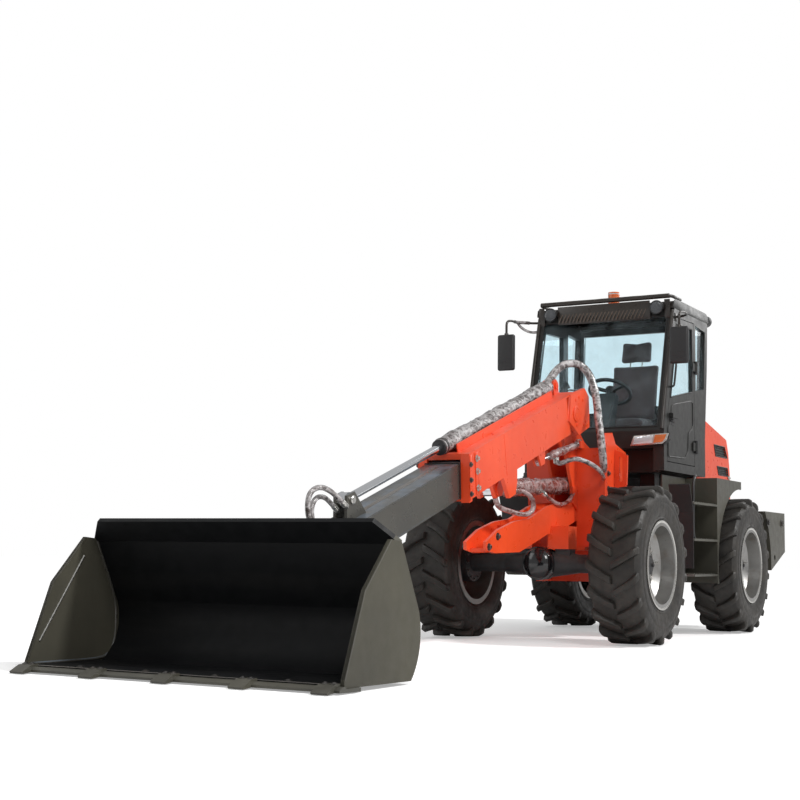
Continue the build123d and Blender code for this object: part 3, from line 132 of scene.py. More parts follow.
# ---- finishes -----------------------------------------------------------------------------------
class Shader:
    """Builds one node material, socket by socket, on Object coordinates."""

    def __init__(self, name: str) -> None:
        """Starts a material of that name."""
        self.material = bpy.data.materials.new(name)
        self.material.use_nodes = True
        self.tree = self.material.node_tree
        self.bsdf = self.tree.nodes["Principled BSDF"]
        self.place = self.tree.nodes.new("ShaderNodeTexCoord").outputs["Object"]

    def node(self, kind: str, **settings: object) -> bpy.types.Node:
        """Adds a node and sets its plain properties."""
        made = self.tree.nodes.new(kind)
        for key, value in settings.items():
            setattr(made, key, value)
        return made

    def feed(self, socket: Socket, value: object) -> None:
        """Links a socket, or sets its value where the value isn't a socket."""
        if isinstance(value, Socket):
            self.tree.links.new(value, socket)
        elif isinstance(value, tuple) and len(value) == 3 and socket.type == "RGBA":
            socket.default_value = (*value, 1.0)
        else:
            socket.default_value = value

    def set(self, **sockets: object) -> None:
        """Feeds the main shader's sockets; an underscore stands for a space."""
        for key, value in sockets.items():
            self.feed(self.bsdf.inputs[key.replace("_", " ")], value)

    def stretched(self, scale: Point) -> Socket:
        """Gives the Object coordinates scaled by axis."""
        made = self.node("ShaderNodeMapping")
        self.feed(made.inputs["Vector"], self.place)
        made.inputs["Scale"].default_value = scale
        return made.outputs["Vector"]

    def noise(
        self, scale: float, detail: float = 3.0, rough: float = 0.55, stretch: Point = (1, 1, 1),
    ) -> Socket:
        """Gives a noise between 0 and 1."""
        made = self.node("ShaderNodeTexNoise")
        self.feed(made.inputs["Vector"], self.place if stretch == (1, 1, 1) else self.stretched(stretch))
        made.inputs["Scale"].default_value = scale
        made.inputs["Detail"].default_value = detail
        made.inputs["Roughness"].default_value = rough
        return made.outputs["Fac"]

    def cells(self, scale: float, feature: str = "F1", stretch: Point = (1, 1, 1)) -> Socket:
        """Gives the distance in a Voronoi pattern."""
        made = self.node("ShaderNodeTexVoronoi", feature=feature)
        self.feed(made.inputs["Vector"], self.place if stretch == (1, 1, 1) else self.stretched(stretch))
        made.inputs["Scale"].default_value = scale
        return made.outputs["Distance"]

    def span(
        self, value: Socket, low: float, high: float, to_low: float = 0.0, to_high: float = 1.0,
    ) -> Socket:
        """Maps a range of values to another, clamped."""
        made = self.node("ShaderNodeMapRange")
        for socket, number in zip(made.inputs[:5], (value, low, high, to_low, to_high)):
            self.feed(socket, number)
        return made.outputs["Result"]

    def math(self, operation: str, a: object, b: object = 0.0) -> Socket:
        """Combines two values."""
        made = self.node("ShaderNodeMath", operation=operation)
        self.feed(made.inputs[0], a)
        self.feed(made.inputs[1], b)
        return made.outputs["Value"]

    def times(self, a: object, b: object) -> Socket:
        """Multiplies two values."""
        return self.math("MULTIPLY", a, b)

    def mix(self, share: object, a: object, b: object) -> Socket:
        """Mixes two colours by a share."""
        made = self.node("ShaderNodeMix", data_type="RGBA")
        self.feed(made.inputs[0], share)
        self.feed(made.inputs[6], a)
        self.feed(made.inputs[7], b)
        return made.outputs[2]

    def part_of_place(self, axis: str) -> Socket:
        """Gives one coordinate, X, Y or Z."""
        made = self.node("ShaderNodeSeparateXYZ")
        self.feed(made.inputs[0], self.place)
        return made.outputs[axis]

    def facing_up(self) -> Socket:
        """Gives how far the surface faces up, from 0 to 1."""
        shape = self.node("ShaderNodeNewGeometry")
        made = self.node("ShaderNodeSeparateXYZ")
        self.feed(made.inputs[0], shape.outputs["Normal"])
        return self.span(made.outputs["Z"], 0.0, 1.0)

    def bump(self, height: Socket, distance: float, strength: float = 1.0) -> None:
        """Raises the surface by a height pattern, after any bump already there."""
        made = self.node("ShaderNodeBump")
        made.inputs["Distance"].default_value = distance
        made.inputs["Strength"].default_value = strength
        self.feed(made.inputs["Height"], height)
        earlier = self.bsdf.inputs["Normal"]
        if earlier.is_linked:
            self.feed(made.inputs["Normal"], earlier.links[0].from_socket)
        self.feed(earlier, made.outputs["Normal"])


@dataclass(frozen=True)
class Finish:
    """A surface finish that makes its own material once."""

    name: str
    slot: str

    def material(self) -> bpy.types.Material:
        """Gives the finish's material, made at its first use."""
        found = bpy.data.materials.get("finish_" + self.name)
        return found or self.make(Shader("finish_" + self.name)).material

    def make(self, shader: Shader) -> Shader:
        """Fills in the material; each kind of finish has its own."""
        raise NotImplementedError


@dataclass(frozen=True)
class Paint(Finish):
    """Sprayed machine paint with orange peel, runs and rubbed patches, and a top-face colour that is dust
    on most finishes and painted sheen on the orange and the inner boom's olive.
    """

    colour: Colour = (0.8, 0.1, 0.03)
    shade: Colour = (0.6, 0.07, 0.02)
    # the top-face colour: dust on most finishes, painted sheen on the orange and the inner boom's olive
    dust: Colour = (0.45, 0.36, 0.28)
    dust_and_sheen_share: float = 0.25
    roughness: float = 0.35
    peel: float = 0.0002
    coat: float = 0.3
    specular: float = 0.5

    def make(self, shader: Shader) -> Shader:
        """Mixes two shades by large soft noise, adds the top-face colour where the surface faces up, which
        is dust on most finishes and painted sheen on the orange and the inner boom's olive, and fine
        scuffs.
        """
        large = shader.span(shader.noise(1.3, 4.0), 0.35, 0.65)
        body = shader.mix(large, self.colour, self.shade)
        streaks = shader.span(shader.noise(9.0, 5.0, 0.6, (1.0, 1.0, 0.12)), 0.52, 0.72)
        body = shader.mix(shader.times(streaks, 0.35), body, self.shade)
        # top faces take the dust colour: dust on most finishes, painted sheen on the orange and the inner
        # boom's olive
        settled = shader.times(shader.facing_up(), shader.span(shader.noise(6.0, 5.0), 0.35, 0.75))
        body = shader.mix(shader.times(settled, self.dust_and_sheen_share), body, self.dust)
        scuffs = shader.span(shader.noise(55.0, 6.0, 0.7, (1.0, 0.25, 1.0)), 0.66, 0.74)
        body = shader.mix(shader.times(scuffs, 0.25), body, self.dust)
        rough = shader.span(shader.noise(14.0, 4.0), 0.3, 0.7, self.roughness - 0.07, self.roughness + 0.1)
        shader.set(
            Base_Color=body, Roughness=shader.math("ADD", rough, shader.times(settled, 0.2)),
            Coat_Weight=self.coat, Coat_Roughness=0.12, Specular_IOR_Level=self.specular,
        )
        shader.bump(shader.noise(420.0, 2.0), self.peel)
        shader.bump(shader.noise(5.0, 2.0), 0.0008)
        return shader


@dataclass(frozen=True)
class PaintedShadeInside(Paint):
    """The bucket's paint, with painted shade: near black laid between its side plates, where the bucket's
    inside lies in shade.
    """

    # the painted shade's near-black colour inside the bucket
    inner: Colour = (0.004, 0.0043, 0.005)
    shaded_half_width: float = 0.9595

    def make(self, shader: Shader) -> Shader:
        """Paints as usual, then paints shade, near black, over what lies between the side plates."""
        super().make(shader)
        painted = shader.bsdf.inputs["Base Color"].links[0].from_socket
        across = shader.math("ABSOLUTE", shader.part_of_place("X"))
        inside = shader.math("LESS_THAN", across, self.shaded_half_width)
        # the painted shade varies a little in tone across the inside
        shade_variation = shader.span(shader.noise(2.2, 5.0, 0.6, (0.25, 1.0, 3.0)), 0.5, 0.8, 0.0, 0.35)
        dark = shader.mix(shade_variation, self.inner, (0.022, 0.021, 0.019))
        shader.set(Base_Color=shader.mix(inside, painted, dark))
        return shader


@dataclass(frozen=True)
class CastIron(Finish):
    """Painted cast metal with a grainy skin and darker hollows."""

    colour: Colour = (0.03, 0.03, 0.032)
    grain: float = 0.0009
    roughness: float = 0.5

    def make(self, shader: Shader) -> Shader:
        """Grains the skin and dulls it in patches."""
        tone = shader.mix(
            shader.span(shader.noise(7.0, 5.0), 0.3, 0.7), self.colour,
            tuple(c * 1.9 + 0.004 for c in self.colour),
        )
        dust = shader.times(shader.facing_up(), shader.span(shader.noise(11.0, 5.0), 0.35, 0.8))
        shader.set(
            Base_Color=shader.mix(shader.times(dust, 0.45), tone, (0.2, 0.17, 0.14)),
            Roughness=shader.span(
                shader.noise(30.0), 0.3, 0.7, self.roughness - 0.1, self.roughness + 0.12,
            ),
        )
        shader.bump(shader.noise(190.0, 3.0, 0.6), self.grain)
        return shader


@dataclass(frozen=True)
class Rubber(Finish):
    """Tyre rubber, brown-black with dust in the grooves and fine mould lines."""

    colour: Colour = (0.018, 0.016, 0.014)
    dust: Colour = (0.085, 0.072, 0.056)

    def make(self, shader: Shader) -> Shader:
        """Dusts the rubber in patches and mottles its gloss."""
        patches = shader.span(shader.noise(8.0, 6.0, 0.65), 0.38, 0.72)
        grains = shader.span(shader.noise(120.0, 3.0), 0.45, 0.75)
        share = shader.math("ADD", shader.times(patches, 0.4), shader.times(grains, 0.12))
        shader.set(
            Base_Color=shader.mix(share, self.colour, self.dust),
            Roughness=shader.span(shader.noise(24.0, 4.0), 0.3, 0.7, 0.42, 0.68),
        )
        shader.bump(shader.noise(160.0, 4.0), 0.0007)
        shader.bump(shader.noise(17.0, 3.0), 0.0016)
        return shader


@dataclass(frozen=True)
class Metal(Finish):
    """Bare, plated or polished metal."""

    colour: Colour = (0.8, 0.82, 0.84)
    roughness: float = 0.12
    stain: float = 0.15
    grain: Point = (1.0, 1.0, 1.0)

    def make(self, shader: Shader) -> Shader:
        """Streaks the polish along the piece and stains it lightly."""
        streaks = shader.noise(90.0, 4.0, 0.6, self.grain)
        tone = shader.mix(
            shader.times(shader.span(shader.noise(9.0, 5.0), 0.5, 0.75), self.stain), self.colour,
            (0.22, 0.18, 0.14),
        )
        shader.set(
            Base_Color=tone, Metallic=1.0,
            Roughness=shader.span(streaks, 0.3, 0.7, self.roughness * 0.7, self.roughness * 1.5),
        )
        shader.bump(streaks, 0.00012)
        return shader


@dataclass(frozen=True)
class Glazing(Finish):
    """Tinted cab glass with a little dust."""

    colour: Colour = (0.82, 0.93, 0.97)
    share: float = 0.3

    def make(self, shader: Shader) -> Shader:
        """Lets tinted light through and clouds the pane with a little dust."""
        cloud = shader.span(shader.noise(5.0, 6.0, 0.7), 0.45, 0.85, 0.0, self.share)
        clear_part = shader.math("SUBTRACT", 1.0, cloud)
        shader.set(
            Base_Color=self.colour, Roughness=shader.times(cloud, 0.25), Transmission_Weight=clear_part,
            IOR=1.2,
        )
        shader.bump(shader.noise(3.0, 1.0), 0.00005)
        return shader


@dataclass(frozen=True)
class Film(Finish):
    """Crinkled clear shipping film over painted steel or hose."""

    under: Colour = (0.06, 0.048, 0.046)
    over: Colour = (0.62, 0.6, 0.6)
    amount: float = 0.62

    def make(self, shader: Shader) -> Shader:
        """Draws pale creases over a dark ground, with sharp small folds that glint."""
        folds = shader.cells(19.0, "DISTANCE_TO_EDGE", (1.0, 0.7, 1.0))
        crease = shader.span(folds, 0.0, 0.16, 1.0, 0.0)
        soft = shader.span(shader.noise(13.0, 6.0, 0.72, (1.0, 0.6, 1.0)), 0.47, 0.62)
        fine = shader.span(shader.noise(60.0, 4.0, 0.7, (1.0, 0.5, 1.0)), 0.5, 0.7)
        share = shader.math(
            "MINIMUM",
            shader.math(
                "ADD", shader.times(crease, 0.4),
                shader.math("ADD", shader.times(soft, 0.55), shader.times(fine, 0.35)),
            ),
            self.amount,
        )
        shader.set(
            Base_Color=shader.mix(share, self.under, self.over), Roughness=0.14, Specular_IOR_Level=0.8,
            Coat_Weight=0.6, Coat_Roughness=0.06,
        )
        shader.bump(folds, 0.006)
        shader.bump(shader.noise(45.0, 5.0, 0.7), 0.005)
        return shader


@dataclass(frozen=True)
class Plastic(Finish):
    """Moulded plastic or rubber trim with a fine leather grain."""

    colour: Colour = (0.02, 0.02, 0.021)
    roughness: float = 0.45
    grain: float = 0.0003
    coat: float = 0.0

    def make(self, shader: Shader) -> Shader:
        """Grains the moulding and dusts it lightly."""
        dust = shader.times(shader.facing_up(), shader.span(shader.noise(13.0, 5.0), 0.4, 0.8))
        shader.set(
            Base_Color=shader.mix(shader.times(dust, 0.3), self.colour, (0.2, 0.18, 0.16)),
            Roughness=shader.span(
                shader.noise(40.0), 0.3, 0.7, self.roughness - 0.08, self.roughness + 0.08,
            ),
            Coat_Weight=self.coat,
        )
        shader.bump(shader.cells(380.0), self.grain)
        return shader


@dataclass(frozen=True)
class Lens(Finish):
    """Lamp or mirror glass with a ribbed or plain face."""

    colour: Colour = (0.8, 0.83, 0.86)
    ribs: float = 160.0
    metallic: float = 0.6
    roughness: float = 0.1

    def make(self, shader: Shader) -> Shader:
        """Ribs the lens along X and varies its tone."""
        wave = shader.math("SINE", shader.times(shader.part_of_place("X"), self.ribs * FULL_TURN))
        shader.set(
            Base_Color=shader.mix(
                shader.span(wave, -1.0, 1.0), self.colour, tuple(c * 0.7 for c in self.colour),
            ),
            Metallic=self.metallic, Roughness=self.roughness, Coat_Weight=0.8, Coat_Roughness=0.03,
        )
        shader.bump(wave, 0.0006 if self.ribs else 0.0)
        return shader


@dataclass(frozen=True)
class Cloth(Finish):
    """Woven seat cloth with a visible twill."""

    colour: Colour = (0.075, 0.045, 0.045)
    thread: Colour = (0.16, 0.1, 0.1)

    def make(self, shader: Shader) -> Shader:
        """Crosses two fine waves into a twill and rubs it paler in patches."""
        across = shader.math("SINE", shader.times(shader.part_of_place("X"), 2200.0))
        up = shader.math("ADD", shader.part_of_place("Z"), shader.part_of_place("Y"))
        along = shader.math("SINE", shader.times(up, 2200.0))
        weave = shader.span(shader.times(across, along), -1.0, 1.0)
        worn = shader.span(shader.noise(9.0, 5.0), 0.4, 0.7)
        share = shader.math("ADD", shader.times(weave, 0.35), shader.times(worn, 0.2))
        shader.set(
            Base_Color=shader.mix(share, self.colour, self.thread), Roughness=0.85, Sheen_Weight=0.35,
        )
        shader.bump(weave, 0.0006)
        return shader


# the orange's pink top-face colour, given as dust, is painted sheen on up-facing faces; it also tints the
# scuffs
ORANGE = Paint(
    "orange_gloss", "orange_paint", colour=(0.9, 0.088, 0.022), shade=(0.76, 0.062, 0.014),
    dust=(0.84, 0.32, 0.28), dust_and_sheen_share=0.34, roughness=0.32, peel=0.00012, coat=0.25,
)
OLIVE = Paint(
    "olive_satin", "olive_paint", colour=(0.072, 0.068, 0.051), shade=(0.042, 0.04, 0.031),
    dust=(0.19, 0.18, 0.15), dust_and_sheen_share=0.35, roughness=0.42, peel=0.00015, coat=0.15,
)
# the inner boom's olive paint: its blue top-face colour, given as dust, is a painted reflection of the sky
# on up-facing faces
OLIVE_SKY_SHEEN = Paint(
    "olive_boom", "olive_paint", colour=(0.068, 0.063, 0.05), shade=(0.048, 0.046, 0.04),
    dust=(0.17, 0.22, 0.29), dust_and_sheen_share=0.75, roughness=0.3, peel=0.00012, coat=0.35,
)
# the bucket's satin paint, with painted shade between its side plates
BUCKET_PAINTED_SHADE = PaintedShadeInside(
    "bucket_satin", "olive_paint", colour=(0.078, 0.073, 0.054), shade=(0.056, 0.053, 0.041),
    dust=(0.15, 0.14, 0.11), dust_and_sheen_share=0.2, roughness=0.46, peel=0.00015, coat=0.0, specular=0.22,
)
CHASSIS = Paint(
    "chassis_black", "black_paint", colour=(0.018, 0.018, 0.019), shade=(0.011, 0.011, 0.012),
    dust=(0.16, 0.13, 0.11), dust_and_sheen_share=0.5, roughness=0.38, peel=0.0002, coat=0.2,
)
CAB_BLACK = Paint(
    "cab_black", "black_paint", colour=(0.017, 0.017, 0.0155), shade=(0.011, 0.011, 0.01),
    dust=(0.12, 0.11, 0.1), dust_and_sheen_share=0.3, roughness=0.36, peel=0.0001, coat=0.08,
)
GLOSS_BLACK = Paint(
    "gloss_black", "black_paint", colour=(0.01, 0.01, 0.0115), shade=(0.007, 0.007, 0.008),
    dust=(0.1, 0.09, 0.08), dust_and_sheen_share=0.2, roughness=0.14, peel=0.0001, coat=0.6,
)
CASTING = CastIron("casting", "black_paint", colour=(0.016, 0.016, 0.017))
ENGINE = CastIron(
    "engine_casting", "engine_grey", colour=(0.08, 0.082, 0.085), grain=0.0012, roughness=0.55,
)
TYRE = Rubber("tyre", "tyre_rubber", colour=(0.013, 0.0115, 0.01), dust=(0.06, 0.05, 0.038))
RIM = Metal("rim_silver", "rim_silver", colour=(0.36, 0.355, 0.345), roughness=0.38, stain=0.55)
CHROME = Metal(
    "chrome", "chrome_rod", colour=(0.83, 0.85, 0.88), roughness=0.07, stain=0.08, grain=(0.05, 1.0, 1.0),
)
BRIGHT = Metal("plated", "chrome_rod", colour=(0.62, 0.61, 0.58), roughness=0.28, stain=0.3)
SCREWS = Metal("dark_bolt", "wrapped_steel", colour=(0.14, 0.135, 0.13), roughness=0.36, stain=0.35)
WORN = Metal("worn_edge", "wrapped_steel", colour=(0.36, 0.34, 0.32), roughness=0.38, stain=0.5)
GLASS = Glazing("cab_glass", "glass", colour=(0.78, 0.9, 0.94), share=0.1)
WRAP = Film("film", "wrapped_steel", under=(0.052, 0.034, 0.03), over=(0.66, 0.63, 0.63), amount=0.74)
WRAP_RED = Film(
    "film_over_orange", "wrapped_steel", under=(0.15, 0.03, 0.02), over=(0.6, 0.5, 0.49), amount=0.62,
)
TRIM = Plastic("trim", "black_plastic")
SEAL = Plastic("seal_rubber", "black_plastic", colour=(0.01, 0.01, 0.01), roughness=0.55, grain=0.0001)
ROOF = Paint(
    "roof_gloss", "black_paint", colour=(0.028, 0.021, 0.016), shade=(0.016, 0.013, 0.011),
    dust=(0.3, 0.26, 0.22), dust_and_sheen_share=0.3, roughness=0.3, peel=0.0001, coat=0.15,
)
AMBER = Plastic("amber", "beacon_amber", colour=(0.85, 0.16, 0.02), roughness=0.15, grain=0.0, coat=0.8)
CLEAR_LENS = Lens("clear_lens", "lamp_glass")
AMBER_LENS = Lens("amber_lens", "beacon_amber", colour=(0.9, 0.22, 0.04), ribs=220.0, metallic=0.2)
SILVERED = Lens("silvered", "lamp_glass", colour=(0.75, 0.8, 0.84), ribs=0.0, metallic=1.0, roughness=0.04)
# the visor slats' finish: the slats are modelled, and their lighter brown is painted highlight for diagonal
# bright streaks
SLAT_PAINTED_HIGHLIGHT = Paint(
    "slat_painted_highlight", "black_paint", colour=(0.1, 0.07, 0.05), shade=(0.06, 0.042, 0.032),
    dust=(0.28, 0.24, 0.2), dust_and_sheen_share=0.5, roughness=0.25, peel=0.0001, coat=0.5,
)
SMOKED = Lens(
    "smoked_lens", "lamp_glass", colour=(0.055, 0.06, 0.068), ribs=90.0, metallic=0.1, roughness=0.08,
)
CLOTH = Cloth("seat_cloth", "seat_fabric")
PALE = Plastic("pale_grey", "black_plastic", colour=(0.33, 0.33, 0.32), roughness=0.4)


# ---- modelling moves ----------------------------------------------------------------------------
def clear() -> None:
    """Leaves edit mode and deselects everything."""
    if bpy.context.object and bpy.context.object.mode != "OBJECT":
        bpy.ops.object.mode_set(mode="OBJECT")
    bpy.ops.object.select_all(action="DESELECT")


def only(piece: Piece) -> None:
    """Makes a piece the only selected and the active one."""
    clear()
    piece.select_set(True)
    bpy.context.view_layer.objects.active = piece


@contextmanager
def editing(piece: Piece, mode: str = "FACE") -> Iterator[Piece]:
    """Opens a piece in edit mode with nothing selected, and closes it after.

    Args:
        piece: The mesh to edit.
        mode: What is picked, VERT, EDGE or FACE.
    """
    only(piece)
    bpy.ops.object.mode_set(mode="EDIT")
    bpy.ops.mesh.select_mode(type=mode)
    bpy.ops.mesh.select_all(action="DESELECT")
    yield piece
    bpy.ops.object.mode_set(mode="OBJECT")


def apply_modifier(piece: Piece, kind: str, **settings: object) -> None:
    """Adds a modifier with its settings and applies it."""
    only(piece)
    made = piece.modifiers.new(kind.lower(), kind)
    for key, value in settings.items():
        setattr(made, key, value)
    bpy.ops.object.modifier_apply(modifier=made.name)


def bevelled(piece: Piece, width: float, segments: int = 2, angle: float = 35.0) -> Piece:
    """Rounds a piece's sharp edges.

    Args:
        piece: The mesh.
        width: The rounding's width.
        segments: How many faces it has.
        angle: The least angle that counts as sharp, in degrees.

    Returns:
        The same piece.
    """
    apply_modifier(
        piece, "BEVEL", width=width, segments=segments, limit_method="ANGLE",
        angle_limit=math.radians(angle),
    )
    return smooth(piece)


def smooth(piece: Piece, angle: float = 35.0) -> Piece:
    """Shades a piece smooth, apart from its sharp edges."""
    only(piece)
    bpy.ops.object.shade_smooth_by_angle(angle=math.radians(angle))
    return piece


def settled(piece: Piece, name: str) -> Piece:
    """Names a piece and puts its place into its mesh."""
    only(piece)
    bpy.ops.object.transform_apply(location=True, rotation=True, scale=True)
    piece.name = piece.data.name = name
    return piece


def joined(pieces: Sequence[Piece], name: str) -> Piece:
    """Joins pieces into one mesh.

    Args:
        pieces: The meshes, the first of which gives the material.
        name: The joined piece's name.

    Returns:
        The joined piece.
    """
    clear()
    for piece in pieces:
        piece.select_set(True)
    bpy.context.view_layer.objects.active = pieces[0]
    if len(pieces) > 1:
        bpy.ops.object.join()
    return settled(pieces[0], name)


def copied(piece: Piece, move: Matrix) -> Piece:
    """Copies a piece with its own mesh and moves the copy's vertices."""
    copy = piece.copy()
    copy.data = piece.data.copy()
    bpy.context.scene.collection.objects.link(copy)
    copy.data.transform(move)
    if move.determinant() < 0:
        copy.data.flip_normals()
    return copy


def both_sides(piece: Piece, name: str) -> Piece:
    """Joins a piece with its mirror image across the machine's centre plane."""
    return joined([piece, copied(piece, Matrix.Scale(-1, 4, (1, 0, 0)))], name)


def pointing(way: Vector) -> Matrix:
    """Gives the turn that takes +Z to a direction."""
    return way.to_track_quat("Z", "Y").to_matrix().to_4x4()


def turned_to(axis: Axis) -> Matrix:
    """Gives the turn that takes +Z to an axis."""
    return pointing(Vector(axis.value).normalized())


def brick(
    name: str, low: Sequence[float], high: Sequence[float], round_off: float = 0.003, segments: int = 2,
) -> Piece:
    """Makes a bar or plate between two corners, with rounded edges.

    Args:
        name: The piece's name.
        low: Its lowest corner.
        high: Its highest corner.
        round_off: The edges' rounding.
        segments: The rounding's faces.

    Returns:
        The piece.
    """
    clear()
    middle = [(a + b) / 2 for a, b in zip(low, high)]
    bpy.ops.mesh.primitive_cube_add(size=1, location=middle, scale=[b - a for a, b in zip(low, high)])
    piece = settled(bpy.context.object, name)
    return bevelled(piece, round_off, segments) if round_off else piece


def plate(
    name: str, outline: Outline, plane: str, low: float, high: float, round_off: float = 0.0025,
    segments: int = 2,
) -> Piece:
    """Makes a plate from an outline, extruded across its plane.

    Args:
        name: The piece's name.
        outline: Corners in the plane's two directions.
        plane: "YZ", "XZ" or "XY".
        low: Where the plate starts across its plane.
        high: Where it ends.
        round_off: The edges' rounding.
        segments: The rounding's faces.

    Returns:
        The piece.
    """
    first, second = ("XYZ".index(c) for c in plane)
    across = 3 - first - second
    clear()
    bpy.ops.mesh.primitive_circle_add(vertices=len(outline), radius=1, fill_type="NGON")
    piece = bpy.context.object
    for vertex, corner in zip(piece.data.vertices, outline):
        place = [0.0, 0.0, 0.0]
        place[first], place[second], place[across] = corner[0], corner[1], low
        vertex.co = place
    step = [0.0, 0.0, 0.0]
    step[across] = high - low
    with editing(piece):
        bpy.ops.mesh.select_all(action="SELECT")
        bpy.ops.mesh.extrude_region_move(TRANSFORM_OT_translate={"value": step})
        bpy.ops.mesh.select_all(action="SELECT")
        bpy.ops.mesh.normals_make_consistent(inside=False)
    settled(piece, name)
    return bevelled(piece, round_off, segments) if round_off else piece


def boom_plate(name: str, outline: Outline, low: float, high: float, round_off: float = 0.0025) -> Piece:
    """Makes a plate across X from (along, over) corners on the boom."""
    return plate(name, [on_boom(*corner) for corner in outline], "YZ", low, high, round_off)


def boom_bar(name: str, x: Pair, along: Pair, over: Pair, round_off: float = 0.0025) -> Piece:
    """Makes a bar that lies along the boom, from its ranges in x, along and over."""
    corners = [(along[0], over[0]), (along[1], over[0]), (along[1], over[1]), (along[0], over[1])]
    return boom_plate(name, corners, x[0], x[1], round_off)


def turned(name: str, centre: Sequence[float], axis: Axis, profile: Outline, sides: int = 32) -> Piece:
    """Turns a profile about an axis, as on a lathe.

    Args:
        name: The piece's name.
        centre: The profile's zero on the axis.
        axis: The axis that the first number of each profile point runs along.
        profile: (along, radius) points from one end to the other.
        sides: Faces round the axis.

    Returns:
        The closed piece.
    """
    clear()
    bpy.ops.mesh.primitive_circle_add(
        vertices=sides, radius=profile[0][1], fill_type="NGON", location=(0, 0, profile[0][0]),
    )
    piece = bpy.context.object
    with editing(piece):
        bpy.ops.mesh.select_all(action="SELECT")
        for (at, radius), (to, wide) in zip(profile, profile[1:]):
            bpy.ops.mesh.extrude_region_move(TRANSFORM_OT_translate={"value": (0, 0, to - at)})
            if abs(wide - radius) > 1e-6:
                bpy.ops.transform.resize(
                    value=(wide / radius, wide / radius, 1), center_override=(0, 0, to),
                )
        bpy.ops.mesh.select_all(action="SELECT")
        bpy.ops.mesh.normals_make_consistent(inside=False)
    settled(piece, name)
    piece.data.transform(Matrix.Translation(Vector(centre)) @ turned_to(axis))
    return smooth(piece, 32)


def ring(name: str, centre: Sequence[float], axis: Axis, profile: Outline, sides: int = 48) -> Piece:
    """Spins a closed (along, radius) section round an axis into a hollow ring.

    Args:
        name: The piece's name.
        centre: The section's zero on the axis.
        axis: The axis of the ring.
        profile: The section's corners.
        sides: Steps round the axis.

    Returns:
        The piece.
    """
    clear()
    bpy.ops.mesh.primitive_circle_add(vertices=len(profile), radius=1, fill_type="NOTHING")
    piece = bpy.context.object
    for vertex, (along, radius) in zip(piece.data.vertices, profile):
        vertex.co = (radius, 0.0, along)
    with editing(piece, "EDGE"):
        bpy.ops.mesh.select_all(action="SELECT")
        bpy.ops.mesh.spin(steps=sides, angle=FULL_TURN, center=(0, 0, 0), axis=(0, 0, 1))
        bpy.ops.mesh.select_all(action="SELECT")
        bpy.ops.mesh.remove_doubles(threshold=1e-5)
        bpy.ops.mesh.normals_make_consistent(inside=False)
    settled(piece, name)
    piece.data.transform(Matrix.Translation(Vector(centre)) @ turned_to(axis))
    return smooth(piece, 32)


def bolts(
    name: str, places: Sequence[Sequence[float]], axis: Axis, across: float = 0.024, height: float = 0.014,
) -> Piece:
    """Makes hexagon heads on washers at several places.

    Args:
        name: The piece's name.
        places: Where each washer sits.
        axis: The way the heads point.
        across: A head's width across its corners.
        height: A head's height.

    Returns:
        All the heads as one piece.
    """
    washer = turned(
        name + "_washer", (0, 0, 0), Axis.Z, [(-0.001, across * 0.78), (0.003, across * 0.78)], 16,
    )
    head = turned(
        name + "_head", (0, 0, 0), Axis.Z,
        [
            (0.002, across / 2), (height * 0.85, across / 2), (height, across * 0.38),
            (height, across * 0.2), (height * 0.8, across * 0.16),
        ],
        6,
    )
    first = joined([washer, head], name)
    turn = turned_to(axis)
    made = [copied(first, Matrix.Translation(Vector(place)) @ turn) for place in places]
    bpy.data.objects.remove(first)
    return joined(made, name)


def line_piece(
    name: str, points: Sequence[Point], radius: float, order: int = 3, resolution: int = 6,
) -> Piece:
    """Makes a smooth round line through space from its control points, left as a curve.

    Args:
        name: The piece's name.
        points: The NURBS control points.
        radius: Half the line's thickness.
        order: The spline's order.
        resolution: Steps between points.

    Returns:
        The curve object.
    """
    curve = bpy.data.curves.new(name, "CURVE")
    curve.dimensions = "3D"
    spline = curve.splines.new("NURBS")
    spline.points.add(len(points) - 1)
    for point, place in zip(spline.points, points):
        point.co = (*place, 1.0)
    spline.order_u = order
    spline.use_endpoint_u = True
    curve.resolution_u = resolution
    curve.bevel_depth = radius
    curve.bevel_resolution = 3
    curve.use_fill_caps = True
    piece = bpy.data.objects.new(name, curve)
    bpy.context.scene.collection.objects.link(piece)
    return piece


def meshed(piece: Piece) -> Piece:
    """Turns a curve into a mesh."""
    only(piece)
    bpy.ops.object.convert(target="MESH")
    return smooth(bpy.context.object, 60)


def bent_bar(name: str, points: Sequence[Point], radius: float, order: int = 3) -> Piece:
    """Makes a rigid bent bar, pipe or weld line as a mesh."""
    return settled(meshed(line_piece(name, points, radius, order)), name)


def rim_of(corners: Sequence[Point], radius: float, name: str) -> Piece:
    """Runs a round bar along each side of a closed outline.

    Args:
        corners: The outline's corners.
        radius: The bars' radius.
        name: The joined piece's name.

    Returns:
        The bars as one piece.
    """
    bars = []
    for a, b in zip(corners, corners[1:] + corners[:1]):
        middle = tuple((p + q) / 2 for p, q in zip(a, b))
        bars.append(bent_bar("run", [a, middle, b], radius))
    return joined(bars, name)


def weld(
    name: str, start: Sequence[float], end: Sequence[float], radius: float = 0.006, pitch: float = 0.012,
) -> Piece:
    """Makes a rippled weld bead between two points.

    Args:
        name: The piece's name.
        start: One end.
        end: The other end.
        radius: The bead's radius.
        pitch: The ripples' spacing.

    Returns:
        The bead.
    """
    a, b = Vector(start), Vector(end)
    steps = max(4, int((b - a).length / pitch))
    profile = []
    for k in range(steps + 1):
        at = (b - a).length * k / steps
        profile += [(at, radius * (0.72 if k % 2 else 1.0))]
    bead = turned(name, (0, 0, 0), Axis.Z, profile, 6)
    bead.data.transform(Matrix.Translation(a) @ (b - a).to_track_quat("Z", "Y").to_matrix().to_4x4())
    return bead


